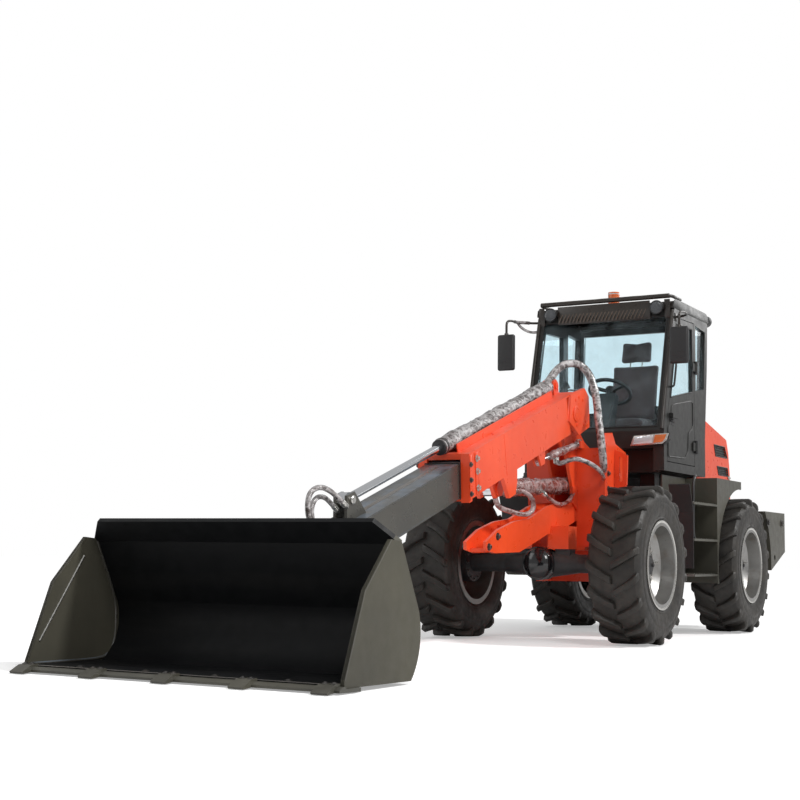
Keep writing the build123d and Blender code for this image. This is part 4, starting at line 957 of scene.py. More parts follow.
def wrinkle(piece: Piece, strength: float, size: float) -> Piece:
    """Crumples a mesh along its normals with a cloud pattern.

    Args:
        piece: The mesh.
        strength: How far the surface moves.
        size: The folds' size.

    Returns:
        The same piece.
    """
    pattern = bpy.data.textures.new(piece.name + "_folds", "CLOUDS")
    pattern.noise_scale = size
    pattern.noise_depth = 3
    apply_modifier(
        piece, "DISPLACE", texture=pattern, strength=strength, mid_level=0.5, texture_coords="LOCAL",
    )
    return piece


@dataclass
class SubAssembly:
    """A group of pieces on one body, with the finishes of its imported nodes."""

    body: str = "rear_body"
    made: list[str] = field(default_factory=list)

    def dress(
        self, piece: Piece, finish: Finish, body: str = "", stands_for: Sequence[str] = (),
        bends: Sequence[object] = (),
    ) -> Piece:
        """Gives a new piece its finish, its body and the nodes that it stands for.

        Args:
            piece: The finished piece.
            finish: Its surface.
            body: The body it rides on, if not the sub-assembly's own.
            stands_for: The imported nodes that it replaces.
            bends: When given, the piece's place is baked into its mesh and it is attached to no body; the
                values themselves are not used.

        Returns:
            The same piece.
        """
        piece.data.materials.clear()
        piece.data.materials.append(finish.material())
        if stands_for:
            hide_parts(*stands_for)
        if bends:
            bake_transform(piece)
        else:
            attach(piece, body or self.body)
        self.made.append(piece.name)
        return piece

    def paint_nodes(self, **finishes: Finish) -> None:
        """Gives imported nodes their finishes."""
        for node, finish in finishes.items():
            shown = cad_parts[node]
            if not shown.material_slots:
                shown.data.materials.append(finish.material())
            for slot in shown.material_slots:
                slot.material = finish.material()

    def build(self) -> None:
        """Builds and dresses the pieces; each sub-assembly has its own."""
        raise NotImplementedError


# ---- camera, floor and light --------------------------------------------------------------------
@dataclass
class Studio:
    """The camera at its fitted place, a pale floor and soft light."""

    place: Point = (4.4678, -9.6693, 0.6389)
    yaw: float = -0.5135
    pitch: float = 0.1073
    roll: float = 0.0138
    lens: float = 64.57
    surround: float = 0.36
    gloss_share: float = 0.12
    floor_glow: float = 0.36
    sun: Pair = (1.9, 0.12)

    def camera(self) -> None:
        """Sets the camera by its heading, rise and roll."""
        data = bpy.data.cameras.new("view")
        data.sensor_width = 36.0
        data.lens = self.lens
        made = bpy.data.objects.new("view", data)
        bpy.context.scene.collection.objects.link(made)
        level = math.cos(self.pitch)
        ahead = Vector((math.sin(self.yaw) * level, math.cos(self.yaw) * level, math.sin(self.pitch)))
        right = ahead.cross(Vector((0, 0, 1))).normalized()
        up = right.cross(ahead)
        tilted = right * math.cos(self.roll) + up * math.sin(self.roll)
        raised = up * math.cos(self.roll) - right * math.sin(self.roll)
        turn = Matrix((tilted, raised, -ahead)).transposed().to_4x4()
        made.matrix_world = Matrix.Translation(Vector(self.place)) @ turn
        data.clip_end = 200.0
        bpy.context.scene.camera = made

    def floor(self) -> None:
        """Lays a wide pale floor that keeps shadows and looks white to the camera."""
        clear()
        bpy.ops.mesh.primitive_plane_add(size=160, location=(0, 0, -0.002))
        ground = bpy.context.object
        ground.name = "floor"
        shader = Shader("floor_pale")
        shader.set(Base_Color=(0.93, 0.93, 0.93), Roughness=0.95, Specular_IOR_Level=0.1)
        path = shader.node("ShaderNodeLightPath")
        glow = shader.times(path.outputs["Is Camera Ray"], self.floor_glow)
        shader.feed(shader.bsdf.inputs["Emission Color"], (1.0, 1.0, 1.0))
        shader.feed(shader.bsdf.inputs["Emission Strength"], glow)
        ground.data.materials.append(shader.material)

    def light(self) -> None:
        """Lights the machine from above and in front, in a surrounding that looks white to the camera."""
        world = bpy.data.worlds.new("surround")
        bpy.context.scene.world = world
        world.use_nodes = True
        nodes, links = world.node_tree.nodes, world.node_tree.links
        path = nodes.new("ShaderNodeLightPath")
        seen = path.outputs["Is Camera Ray"]
        mirrored = nodes.new("ShaderNodeMath")
        mirrored.operation = "MULTIPLY"
        links.new(path.outputs["Is Glossy Ray"], mirrored.inputs[0])
        mirrored.inputs[1].default_value = self.gloss_share
        for other in (path.outputs["Is Transmission Ray"], mirrored.outputs[0]):
            either = nodes.new("ShaderNodeMath")
            either.operation = "MAXIMUM"
            links.new(seen, either.inputs[0])
            links.new(other, either.inputs[1])
            seen = either.outputs[0]
        level = nodes.new("ShaderNodeMapRange")
        links.new(seen, level.inputs["Value"])
        level.inputs["To Min"].default_value = self.surround
        level.inputs["To Max"].default_value = 1.0
        ground = nodes["Background"]
        ground.inputs["Color"].default_value = (1, 1, 1, 1)
        links.new(level.outputs["Result"], ground.inputs["Strength"])
        # name, place, aimed at, size, watts
        for name, place, aim, size, power in (
            ("key", (6.5, -7.5, 7.5), (0, -1.0, 1.0), 3.0, 360.0),
            ("fill", (-8.0, -5.0, 5.5), (0, 0, 1.0), 5.0, 110.0),
            ("rear", (3.0, 9.0, 6.0), (0, 1.0, 1.0), 5.0, 160.0),
        ):
            data = bpy.data.lights.new(name, "AREA")
            data.size = size
            data.energy = power
            made = bpy.data.objects.new(name, data)
            bpy.context.scene.collection.objects.link(made)
            made.location = place
            made.rotation_euler = (Vector(aim) - Vector(place)).to_track_quat("-Z", "Y").to_euler()
        sun = bpy.data.lights.new("sun", "SUN")
        sun.energy, sun.angle = self.sun
        made = bpy.data.objects.new("sun", sun)
        bpy.context.scene.collection.objects.link(made)
        made.rotation_euler = Vector((-0.8, -0.16, -0.74)).to_track_quat("-Z", "Y").to_euler()

    def build(self) -> None:
        """Makes the camera, the floor and the lights."""
        bpy.context.scene.view_settings.view_transform = "Standard"
        self.camera()
        self.floor()
        self.light()


# ---- wheels -------------------------------------------------------------------------------------
@dataclass
class Wheel(SubAssembly):
    """One tyre and its rim, with lugs, sidewall ribs and wheel nuts."""

    label: str = "front_left"
    lugs: int = 18
    radius: float = 0.5875
    nuts: int = 10

    def carcass(self) -> Piece:
        """Spins the tyre's section into its casing, with a rounded shoulder and raised sidewall ribs."""
        section = [
            (0.174, 0.302), (0.176, 0.329), (0.186, 0.338), (0.19, 0.35), (0.186, 0.356), (0.196, 0.385),
            (0.2015, 0.425), (0.2025, 0.452), (0.1995, 0.458), (0.1995, 0.466), (0.2015, 0.472),
            (0.196, 0.502), (0.186, 0.525), (0.168, 0.541), (0.11, 0.549), (0.04, 0.5515),
        ]
        profile = section + [(-a, r) for a, r in reversed(section)]
        return ring("casing", (0, 0, 0), Axis.X, profile, 72)

    def lug(self, row: int) -> Piece:
        """Shapes one curved traction lug at the bottom of the tyre.

        Args:
            row: Which side of the tread it is on, 1 or -1.

        Returns:
            The lug, standing out along +Z from the axle.
        """
        # across the tread, round it, half width, depth below the tread
        track = [
            (0.004, -0.058, 0.024, 0.0), (0.06, -0.03, 0.024, 0.0), (0.12, 0.004, 0.025, 0.0),
            (0.17, 0.036, 0.027, 0.0), (0.1905, 0.052, 0.027, 0.012), (0.1985, 0.058, 0.022, 0.05),
        ]
        clear()
        bpy.ops.mesh.primitive_grid_add(x_subdivisions=len(track) - 1, y_subdivisions=2, size=1)
        piece = bpy.context.object
        order = sorted(
            range(len(piece.data.vertices)),
            key=lambda i: (round(piece.data.vertices[i].co.x, 3), piece.data.vertices[i].co.y),
        )
        outline_r = self.radius - 0.004
        for k, (across, round_at, wide, drop) in enumerate(track):
            for n in range(3):
                vertex = piece.data.vertices[order[3 * k + n]]
                angle = (round_at + (n - 1) * wide) / self.radius
                high = outline_r - drop
                vertex.co = (across * row, high * math.sin(angle), high * math.cos(angle))
        with editing(piece):
            bpy.ops.mesh.select_all(action="SELECT")
            bpy.ops.mesh.extrude_region_move(TRANSFORM_OT_translate={"value": (0, 0, 0)})
            bpy.ops.transform.resize(value=(0.985, 1.22, 1), center_override=(0, 0, 0))
            bpy.ops.transform.translate(value=(-0.012 * row, 0, -0.052))
            bpy.ops.mesh.select_all(action="SELECT")
            bpy.ops.mesh.normals_make_consistent(inside=False)
        settled(piece, "lug")
        return bevelled(piece, 0.005, 2, 38)

    def tyre(self, side: int, centre: Point) -> Piece:
        """Joins the casing with two rows of lugs and moves it onto the wheel's centre.

        Args:
            side: 1 on the left, -1 on the right.
            centre: The wheel's centre.

        Returns:
            The tyre.
        """
        pieces = [self.carcass()]
        for row in (-1, 1):
            first = self.lug(row)
            for k in range(self.lugs):
                angle = FULL_TURN * (k + 0.25 * row) / self.lugs
                pieces.append(copied(first, Matrix.Rotation(angle, 4, "X")))
            bpy.data.objects.remove(first)
        tyre = joined(pieces, "tread_" + self.label)
        turn = Matrix.Identity(4) if side > 0 else Matrix.Rotation(math.pi, 4, "Z")
        tyre.data.transform(Matrix.Translation(Vector(centre)) @ turn @ Matrix.Rotation(math.pi, 4, "X"))
        return tyre

    def build(self) -> None:
        """Builds the tyre, its nuts, hub cap, flange ring and valve."""
        side, axle_y = WHEELS[self.label]
        centre = (side * WHEEL_X, axle_y, AXLE_Z)
        face = Axis.LEFT_FACE if side > 0 else Axis.RIGHT_FACE
        self.dress(self.tyre(side, centre), TYRE, stands_for=["tyre_" + self.label])
        self.paint_nodes(**{"rim_" + self.label: RIM})
        seat = centre[0] + side * 0.0345
        places = [(seat, axle_y + a, AXLE_Z + b) for a, b in circle(0.168, self.nuts)]
        self.dress(bolts("nuts_" + self.label, places, face, 0.034, 0.024), BRIGHT)
        bead = [(0.184, 0.3275), (0.19, 0.3295), (0.1925, 0.322), (0.1885, 0.312), (0.184, 0.314)]
        self.dress(ring("flange_" + self.label, centre, face, bead, 64), BRIGHT)
        cap = [(0.096, 0.06), (0.101, 0.058), (0.108, 0.04), (0.11, 0.016), (0.124, 0.014), (0.126, 0.01)]
        self.dress(turned("hub_cap_" + self.label, centre, face, cap, 24), CASTING)
        stem = (seat, axle_y + 0.225, AXLE_Z + 0.02)
        self.dress(
            turned(
                "valve_" + self.label, stem, face,
                [
                    (0.0, 0.007), (0.012, 0.007), (0.014, 0.004), (0.034, 0.004), (0.036, 0.0055),
                    (0.046, 0.0055),
                ],
                12,
            ),
            BRIGHT,
        )


# ---- chassis ------------------------------------------------------------------------------------
@dataclass
class Chassis(SubAssembly):
    """Both frames, the axles, the counterweight, the steps and the tank."""

    def front_frame(self) -> None:
        """Adds the nose and tower bolts, welds, a floor cover and the control valve to the front frame."""
        self.paint_nodes(front_frame=ORANGE, front_axle=CASTING)
        for side, tag, face in SIDES:
            nose = [(side * 0.0905, FRONT_AXLE_Y - ahead, z) for ahead, z in ((1.16, 0.7), (1.02, 0.775))]
            self.dress(bolts("nose_bolts_" + tag, nose, face, 0.034, 0.02), SCREWS, "front_body")
        for side, tag, face in SIDES:
            x = side * 0.331
            rows = [
                (x, FRONT_AXLE_Y + y, z)
                for y, z in ((0.5, 1.3), (0.5, 1.18), (0.78, 1.22), (0.78, 1.1), (0.7, 0.62), (0.82, 0.62))
            ]
            self.dress(bolts("tower_bolts_" + tag, rows, face, 0.03, 0.018), SCREWS, "front_body")
            seam = weld(
                "tower_weld_" + tag, (x, FRONT_AXLE_Y + 0.455, 0.92), (x, FRONT_AXLE_Y + 0.455, 1.54),
                0.007, 0.014,
            )
            self.dress(seam, ORANGE, "front_body")
        lid = [(-0.29, 0.985), (0.29, 0.985), (0.29, 1.19), (-0.29, 1.19)]
        self.dress(plate("tower_floor_cover", lid, "XY", 0.7155, 0.7195, 0.0015), CHASSIS, "front_body")
        valve = brick("control_valve", (0.125, 1.02, 0.72), (0.285, 1.15, 0.86), 0.006)
        self.dress(valve, CASTING, "front_body")
        spool = [(0, 0.011), (0.02, 0.011), (0.024, 0.007), (0.04, 0.007)]
        knobs = [turned("spool", (0.15 + 0.03 * k, 1.085, 0.858), Axis.Z, spool, 12) for k in range(4)]
        self.dress(joined(knobs, "valve_spools"), BRIGHT, "front_body")

    def axles(self) -> None:
        """Adds the domed covers and the bolt rings to both axles."""
        self.paint_nodes(rear_axle=CASTING)
        for tag, y, sign, way, body in (
            ("front", FRONT_AXLE_Y, -1, Axis.FRONT_FACE, "front_body"),
            ("rear", REAR_AXLE_Y, 1, Axis.REAR_FACE, "rear_body"),
        ):
            dome = [
                (0.112 + 0.06 * math.sin(a), 0.118 * math.cos(a))
                for a in (k * math.pi / 16 for k in range(8))
            ]
            cover = turned(
                tag + "_diff_cover", (0, y, AXLE_Z), way, [(0.08, 0.128), (0.11, 0.128), *dome], 48,
            )
            self.dress(cover, GLOSS_BLACK, body)
            ring_places = [(a, y + sign * 0.112, AXLE_Z + b) for a, b in circle(0.103, 12)]
            self.dress(bolts(tag + "_cover_bolts", ring_places, way, 0.018, 0.012), SCREWS, body)
            # the drums' bolts look inwards
            for (side, hand, _), (_, _, inner) in zip(SIDES, reversed(SIDES)):
                drum = [(side * 0.597, y + a, AXLE_Z + b) for a, b in circle(0.128, 12)]
                self.dress(bolts(f"{tag}_drum_bolts_{hand}", drum, inner, 0.018, 0.012), SCREWS, body)

    def rear(self) -> None:
        """Finishes the rear frame and adds the tow pin, the counterweight's bolts and the rear lamps."""
        self.paint_nodes(
            rear_frame=CHASSIS, engine=ENGINE, counterweight=OLIVE, left_steps=OLIVE, right_tank=OLIVE,
            mudguards=TRIM,
        )
        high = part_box("counterweight")[1]
        pin = turned(
            "tow_pin", (0, high.y - 0.05, 0.7), Axis.Z,
            [(0.055, 0.012), (0.062, 0.0172), (0.395, 0.0172), (0.4, 0.012)], 20,
        )
        hoop = ((-0.03, 1.082), (-0.035, 1.1), (0, 1.115), (0.035, 1.1), (0.03, 1.082))
        knob = bent_bar("tow_pin_handle", [(x, high.y - 0.05, z) for x, z in hoop], 0.006)
        self.dress(joined([pin, knob], "tow_pin_set"), BRIGHT)
        for side, tag, face in SIDES:
            places = [(side * (high.x + 0.0005), high.y - dy, z) for dy, z in ((0.12, 0.98), (0.6, 0.98))]
            self.dress(bolts("weight_bolts_" + tag, places, face, 0.05, 0.02), SCREWS)
            lens = turned(
                "rear_lamp_" + tag, (side * 0.74, high.y - 0.0145, 0.93), Axis.REAR_FACE,
                [
                    (0.0, 0.055), (0.0143, 0.055), (0.0144, 0.05), (0.013, 0.046), (0.014, 0.03),
                    (0.0143, 0.01),
                ],
                28,
            )
            self.dress(lens, AMBER_LENS)

    def ladder(self) -> None:
        """Adds grip bars and nosings on the treads, a handrail, and the tank's cap and straps."""
        bars, nosing = [], []
        for z in STEP_TREADS:
            for k in range(9):
                y = 1.628 + 0.066 * k
                bars.append(brick("grip", (0.576, y, z + 0.0003), (0.836, y + 0.014, z + 0.0063), 0.002, 1))
        self.dress(joined(bars, "step_grips"), OLIVE)
        for z in STEP_TREADS:
            nosing.append(brick("nosing", (0.57, 1.5985, z - 0.016), (0.845, 1.604, z + 0.004), 0.002, 1))
        self.dress(joined(nosing, "step_nosings"), WORN)
        line = ((1.64, 0.8), (1.615, 0.82), (1.612, 0.95), (1.612, 1.2), (1.64, 1.3), (1.68, 1.31))
        rail = bent_bar("step_rail", [(0.838, y, z) for y, z in line], 0.011)
        self.dress(rail, CHASSIS)
        tank_low, tank_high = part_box("right_tank")
        middle = (tank_low + tank_high) / 2
        cap = turned(
            "tank_cap", (middle.x, tank_low.y + 0.14, tank_high.z), Axis.Z,
            [(-0.004, 0.048), (0.012, 0.048), (0.014, 0.041), (0.04, 0.041), (0.046, 0.034)], 24,
        )
        self.dress(cap, TRIM)
        straps = []
        for y in (tank_low.y + 0.16, tank_high.y - 0.16):
            straps.append(
                brick(
                    "strap", (tank_low.x - 0.003, y - 0.02, tank_low.z + 0.02),
                    (tank_low.x + 0.001, y + 0.02, tank_high.z - 0.02), 0.001, 1,
                )
            )
        self.dress(joined(straps, "tank_straps"), WORN)

    def build(self) -> None:
        """Builds the chassis details."""
        self.front_frame()
        self.axles()
        self.rear()
        self.ladder()


# ---- boom ---------------------------------------------------------------------------------------
@dataclass
class Boom(SubAssembly):
    """Outer and inner boom with collar, studs, slots, welds and wrapped cylinders."""

    body: str = "boom_body"

    def outer(self) -> None:
        """Adds the collar's stepped frames, its studs, the top slots, seams and the pivot's retainers."""
        self.paint_nodes(outer_boom=ORANGE, extension_barrel=WRAP, extension_rod=CHROME)
        for side, tag, face in SIDES:
            x0, x1 = sorted((side * 0.1922, side * 0.1985))
            frame_outline = [(1.946, -0.128), (1.974, -0.128), (1.9, 0.158), (1.868, 0.158)]
            self.dress(boom_plate("collar_step_" + tag, frame_outline, x0, x1, 0.003), ORANGE)
            x2, x3 = sorted((side * 0.1802, side * 0.1862))
            band = [(1.8, -0.126), (1.85, -0.126), (1.792, 0.15), (1.745, 0.15)]
            self.dress(boom_plate("collar_band_" + tag, band, x2, x3, 0.003), ORANGE)
            studs = [(side * 0.1862, *on_boom(1.822 - 0.2 * (o + 0.1), o)) for o in (-0.085, 0.025, 0.11)]
            self.dress(bolts("collar_studs_" + tag, studs, face, 0.03, 0.02), BRIGHT)
            pads = [(side * 0.1985, *on_boom(1.955 - 0.26 * (o + 0.1), o)) for o in (-0.09, 0.0, 0.1)]
            self.dress(bolts("collar_bolts_" + tag, pads, face, 0.024, 0.014), SCREWS)
            holes = [
                (side * 0.1945, *on_boom(a, o))
                for a, o in (
                    (-0.03, 0.105), (-0.1, 0.112), (-0.165, 0.075), (0.01, -0.085), (-0.13, -0.115),
                    (-0.175, -0.1),
                )
            ]
            self.dress(bolts("pivot_bolts_" + tag, holes, face, 0.022, 0.007), ORANGE)
            seam = weld(
                "boom_seam_" + tag, (side * 0.1805, *on_boom(1.34, -0.128)),
                (side * 0.1805, *on_boom(1.3, 0.16)), 0.0035, 0.012,
            )
            self.dress(seam, ORANGE)
            edge = weld(
                "plate_seam_" + tag, (side * 0.1815, *on_boom(0.062, 0.158)),
                (side * 0.1815, *on_boom(0.152, -0.02)), 0.0045, 0.012,
            )
            self.dress(edge, ORANGE)
            cap = turned(
                "pivot_cap_" + tag, (side * 0.1945, *on_boom(0, 0)), face,
                [
                    (0.0, 0.062), (0.008, 0.062), (0.0105, 0.058), (0.0105, 0.046), (0.006, 0.044),
                    (0.006, 0.006),
                ],
                36,
            )
            self.dress(cap, ORANGE)
        slots = []
        for along in (0.985, 1.335):
            arc = ring(
                "slot", (0.055, *on_boom(along, 0.1655)), Axis.BOOM_TOP,
                [(-0.001, 0.05), (0.0035, 0.05), (0.0035, 0.06), (-0.001, 0.06)], 40,
            )
            with editing(arc, "VERT"):
                bpy.ops.mesh.select_all(action="SELECT")
                middle = Vector((0.055, *on_boom(along, 0.1655)))
                bpy.ops.mesh.bisect(
                    plane_co=middle, plane_no=Vector(Axis.BOOM.value), clear_outer=True, use_fill=True,
                )
            slots.append(arc)
        self.dress(joined(slots, "half_moon_slots"), ORANGE)
        across = [(1.922, 0.118), (1.936, 0.118), (1.936, 0.1225), (1.922, 0.1225)]
        upright = [(1.985, -0.116), (1.996, -0.116), (1.935, 0.122), (1.924, 0.122)]
        mouth = boom_plate("collar_seal", across, -0.127, 0.127, 0.001)
        sides = [boom_plate("lip", upright, *sorted((s * 0.1292, s * 0.1338)), 0.001) for s in (-1, 1)]
        self.dress(joined([mouth, *sides], "boom_wiper_seal"), SEAL)

    def inner(self) -> None:
        """Adds the inner boom's weld lines, wear strip and pin ends, and the head's doublers."""
        self.paint_nodes(inner_boom=OLIVE_SKY_SHEEN)
        for side, tag, _ in reversed(SIDES):
            for over, name in ((-0.104, "low"), (0.108, "high")):
                bead = weld(
                    f"inner_weld_{name}_{tag}", (side * 0.1248, *on_boom(2.05, over)),
                    (side * 0.1248, *on_boom(3.62, over)), 0.0035, 0.02,
                )
                self.dress(bead, OLIVE_SKY_SHEEN, "inner_boom_body")
            patch = boom_plate(
                "head_doubler_" + tag,
                [(3.35, -0.095), (3.66, -0.095), (3.685, 0.0), (3.6, 0.098), (3.35, 0.098), (3.3, 0.0)],
                *sorted((side * 0.1248, side * 0.1308)), 0.002,
            )
            self.dress(patch, OLIVE_SKY_SHEEN, "inner_boom_body")
        strip = boom_bar("wear_strip", (-0.02, 0.02), (2.02, 3.02), (0.1158, 0.1172), 0.0005)
        self.dress(strip, WORN, "inner_boom_body")
        end = [(0.0, 0.026), (0.012, 0.026), (0.016, 0.021), (0.016, 0.008)]
        pins = [
            turned("pin_end", (side * 0.048, *on_boom(3.195, 0.231)), face, end, 24)
            for side, _, face in SIDES
        ]
        self.dress(joined(pins, "extension_pin_ends"), BRIGHT, "inner_boom_body")

    def wrapped(
        self, name: str, body: str, start: Pair, end: Pair, x: float, radius: float, finish: Finish = WRAP,
    ) -> None:
        """Adds a loose crumpled sleeve of film round a cylinder.

        Args:
            name: The sleeve's name.
            body: The body it rides on.
            start: (y, z) of one end.
            end: (y, z) of the other end.
            x: The cylinder's place across the machine.
            radius: The sleeve's radius.
            finish: Its surface.
        """
        a, b = Vector((x, *start)), Vector((x, *end))
        length = (b - a).length
        steps = max(14, int(length / 0.022))
        profile = []
        for k in range(steps + 1):
            t = k / steps
            swell = 1.0 + 0.07 * math.sin(9.0 * t * length) + 0.05 * math.sin(31.0 * t * length + 1.0)
            taper = 0.86 if k in (0, steps) else 1.0
            profile.append((t * length, radius * swell * taper))
        sleeve = turned(name, (0, 0, 0), Axis.Z, profile, 40)
        sleeve.data.transform(Matrix.Translation(a) @ pointing(b - a))
        wrinkle(sleeve, 0.018, 0.05)
        wrinkle(sleeve, 0.007, 0.016)
        self.dress(smooth(sleeve, 60), finish, body)

    def cylinders(self) -> None:
        """Finishes the working cylinders and wraps their barrels."""
        for name in ("lift", "levelling", "tilt", "steering_left", "steering_right"):
            barrel = WRAP_RED if name in ("lift", "levelling") else CHASSIS
            self.paint_nodes(**{name + "_barrel": barrel, name + "_rod": CHROME})
        self.wrapped("extension_film", "boom_body", on_boom(0.11, 0.231), on_boom(1.9, 0.231), 0.0, 0.057)
        self.wrapped(
            "levelling_film", "levelling_barrel_body", (0.66, 1.4667), (0.4, 1.4056), 0.125, 0.0305,
            WRAP_RED,
        )
        self.wrapped("lift_film", "lift_barrel_body", (1.01, 1.2053), (-0.215, 1.131), 0.0, 0.064, WRAP_RED)
        gland = turned(
            "extension_gland", (0, *on_boom(1.895, 0.231)), Axis.BOOM,
            [(0.0, 0.058), (0.02, 0.058), (0.024, 0.054), (0.05, 0.054), (0.054, 0.046), (0.058, 0.03)], 32,
        )
        self.dress(gland, CHASSIS, "boom_body")

    def build(self) -> None:
        """Builds the boom's details."""
        self.outer()
        self.inner()
        self.cylinders()


# ---- bucket -------------------------------------------------------------------------------------
@dataclass
class Bucket(SubAssembly):
    """The wide bucket with welds, worn edges, tooth bolts and coupler details."""

    body: str = "bucket_body"

    def build(self) -> None:
        """Adds weld beads, edge strips, tooth and edge bolts, and the coupler's ribs and latch."""
        # the bucket's finish paints shade, near black, between its side plates
        self.paint_nodes(bucket=BUCKET_PAINTED_SHADE, bucket_teeth=OLIVE, quick_coupler=OLIVE)
        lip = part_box("bucket")[0].y
        for side, tag, _ in reversed(SIDES):
            x = side * 0.9635
            line = [
                (0.02, 0.043), (0.3, 0.041), (0.55, 0.04), (0.64, 0.06), (0.686, 0.14), (0.69, 0.25),
                (0.682, 0.36), (0.6, 0.52), (0.505, 0.7),
            ]
            bead = bent_bar("inner_weld_" + tag, [(x, lip + b, z) for b, z in line], 0.008)
            self.dress(bead, OLIVE_SKY_SHEEN)
            edge = [
                (0.0, 0.06), (0.01, 0.06), (0.179, 0.464), (0.42, 0.706), (0.414, 0.713), (0.171, 0.469),
            ]
            strip = plate(
                "cheek_edge_" + tag, [(lip + b, z) for b, z in edge], "YZ",
                *sorted((side * 0.9625, side * 0.9855)), 0.002,
            )
            self.dress(strip, OLIVE)
            # a rippled weld line along each cheek's inside, in bright plated metal whose brightness is
            # painted highlight
            worn = weld(
                "cheek_weld_highlight_" + tag, (side * 0.9625, lip + 0.082, 0.159),
                (side * 0.9625, lip + 0.406, 0.609), 0.0065, 0.016,
            )
            self.dress(worn, BRIGHT)
        top = weld("spill_weld", (-0.975, lip + 0.512, 0.7065), (0.975, lip + 0.512, 0.7065), 0.006, 0.014)
        self.dress(top, BUCKET_PAINTED_SHADE)
        places = []
        pitch = 2 * (0.984 - 0.06) / 4
        for k in range(5):
            middle = (k - 2) * pitch
            places += [(middle - 0.024, lip - 0.03, 0.0468), (middle + 0.024, lip - 0.03, 0.0468)]
        self.dress(bolts("tooth_bolts", places, Axis.Z, 0.022, 0.008), SCREWS)
        edge_bolts = [(-0.86 + 0.43 * k + 0.215, lip + 0.05, 0.0405) for k in range(4)]
        self.dress(bolts("edge_bolts", edge_bolts, Axis.Z, 0.026, 0.007), SCREWS)
        shine = brick("lip_wear", (-0.95, lip + 0.001, 0.0382), (0.95, lip + 0.022, 0.04), 0.0006, 1)
        self.dress(shine, WORN)
        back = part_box("quick_coupler")[0].y
        ribs = []
        for x in (-0.36, 0.36):
            ribs.append(
                plate(
                    "rib",
                    [
                        (back + 0.017, 0.15), (back + 0.075, 0.19), (back + 0.075, 0.37),
                        (back + 0.017, 0.425),
                    ],
                    "YZ", x - 0.009, x + 0.009, 0.002,
                )
            )
        self.dress(joined(ribs, "coupler_ribs"), OLIVE)
        latch = turned(
            "coupler_latch", (-0.34, back + 0.045, 0.185), Axis.X,
            [(0.0, 0.016), (0.01, 0.018), (0.66, 0.018), (0.68, 0.016)], 16,
        )
        self.dress(latch, WORN)


# ---- hoses --------------------------------------------------------------------------------------
# each route's control points, from its exit to where it goes back in
ROUTES = {
    "hose_arch": [
        (0.0, 0.56, 1.955), (0.004, 0.65, 2.035), (0.02, 0.76, 2.125), (0.06, 0.88, 2.18),
        (0.12, 0.985, 2.175), (0.19, 1.005, 2.09), (0.245, 0.985, 1.95), (0.285, 0.925, 1.82),
        (0.32, 0.865, 1.7), (0.35, 0.83, 1.58), (0.366, 0.825, 1.45), (0.362, 0.86, 1.36),
        (0.318, 0.967, 1.325),
    ],
    "hose_cross": [
        (0.125, 0.48, 1.388), (0.13, 0.47, 1.358), (0.17, 0.465, 1.345), (0.23, 0.475, 1.372),
        (0.29, 0.5, 1.385), (0.34, 0.57, 1.362), (0.372, 0.7, 1.325), (0.366, 0.85, 1.272),
        (0.318, 0.967, 1.255),
    ],
    "hose_lift_front": [
        (0.064, -0.205, 1.108), (0.089, -0.15, 1.114), (0.108, -0.045, 1.104), (0.117, 0.065, 1.062),
        (0.118, 0.08, 0.985), (0.11, -0.015, 0.94), (0.094, -0.15, 0.945), (0.08, -0.27, 0.962),
        (0.072, -0.37, 0.972), (0.065, -0.445, 0.998), (0.063, -0.466, 1.046),
    ],
    "hose_lift_low": [
        (0.066, 0.36, 1.12), (0.09, 0.44, 1.07), (0.098, 0.6, 1.035), (0.098, 0.76, 1.06),
        (0.092, 0.88, 1.12), (0.074, 0.98, 1.19),
    ],
    "hose_head": [
        (0.04, -2.462, 0.925), (0.045, -2.52, 0.95), (0.052, -2.64, 1.0), (0.058, -2.77, 1.02),
        (0.064, -2.885, 0.98), (0.062, -2.9, 0.885), (0.054, -2.85, 0.8), (0.042, -2.79, 0.725),
        (0.034, -2.745, 0.66),
    ],
    "hose_head_second": [
        (-0.02, -2.462, 0.9), (-0.016, -2.53, 0.935), (-0.006, -2.62, 0.968), (0.002, -2.72, 0.96),
        (0.006, -2.775, 0.895), (0.0, -2.745, 0.82), (-0.006, -2.7, 0.755), (-0.01, -2.665, 0.7),
    ],
}


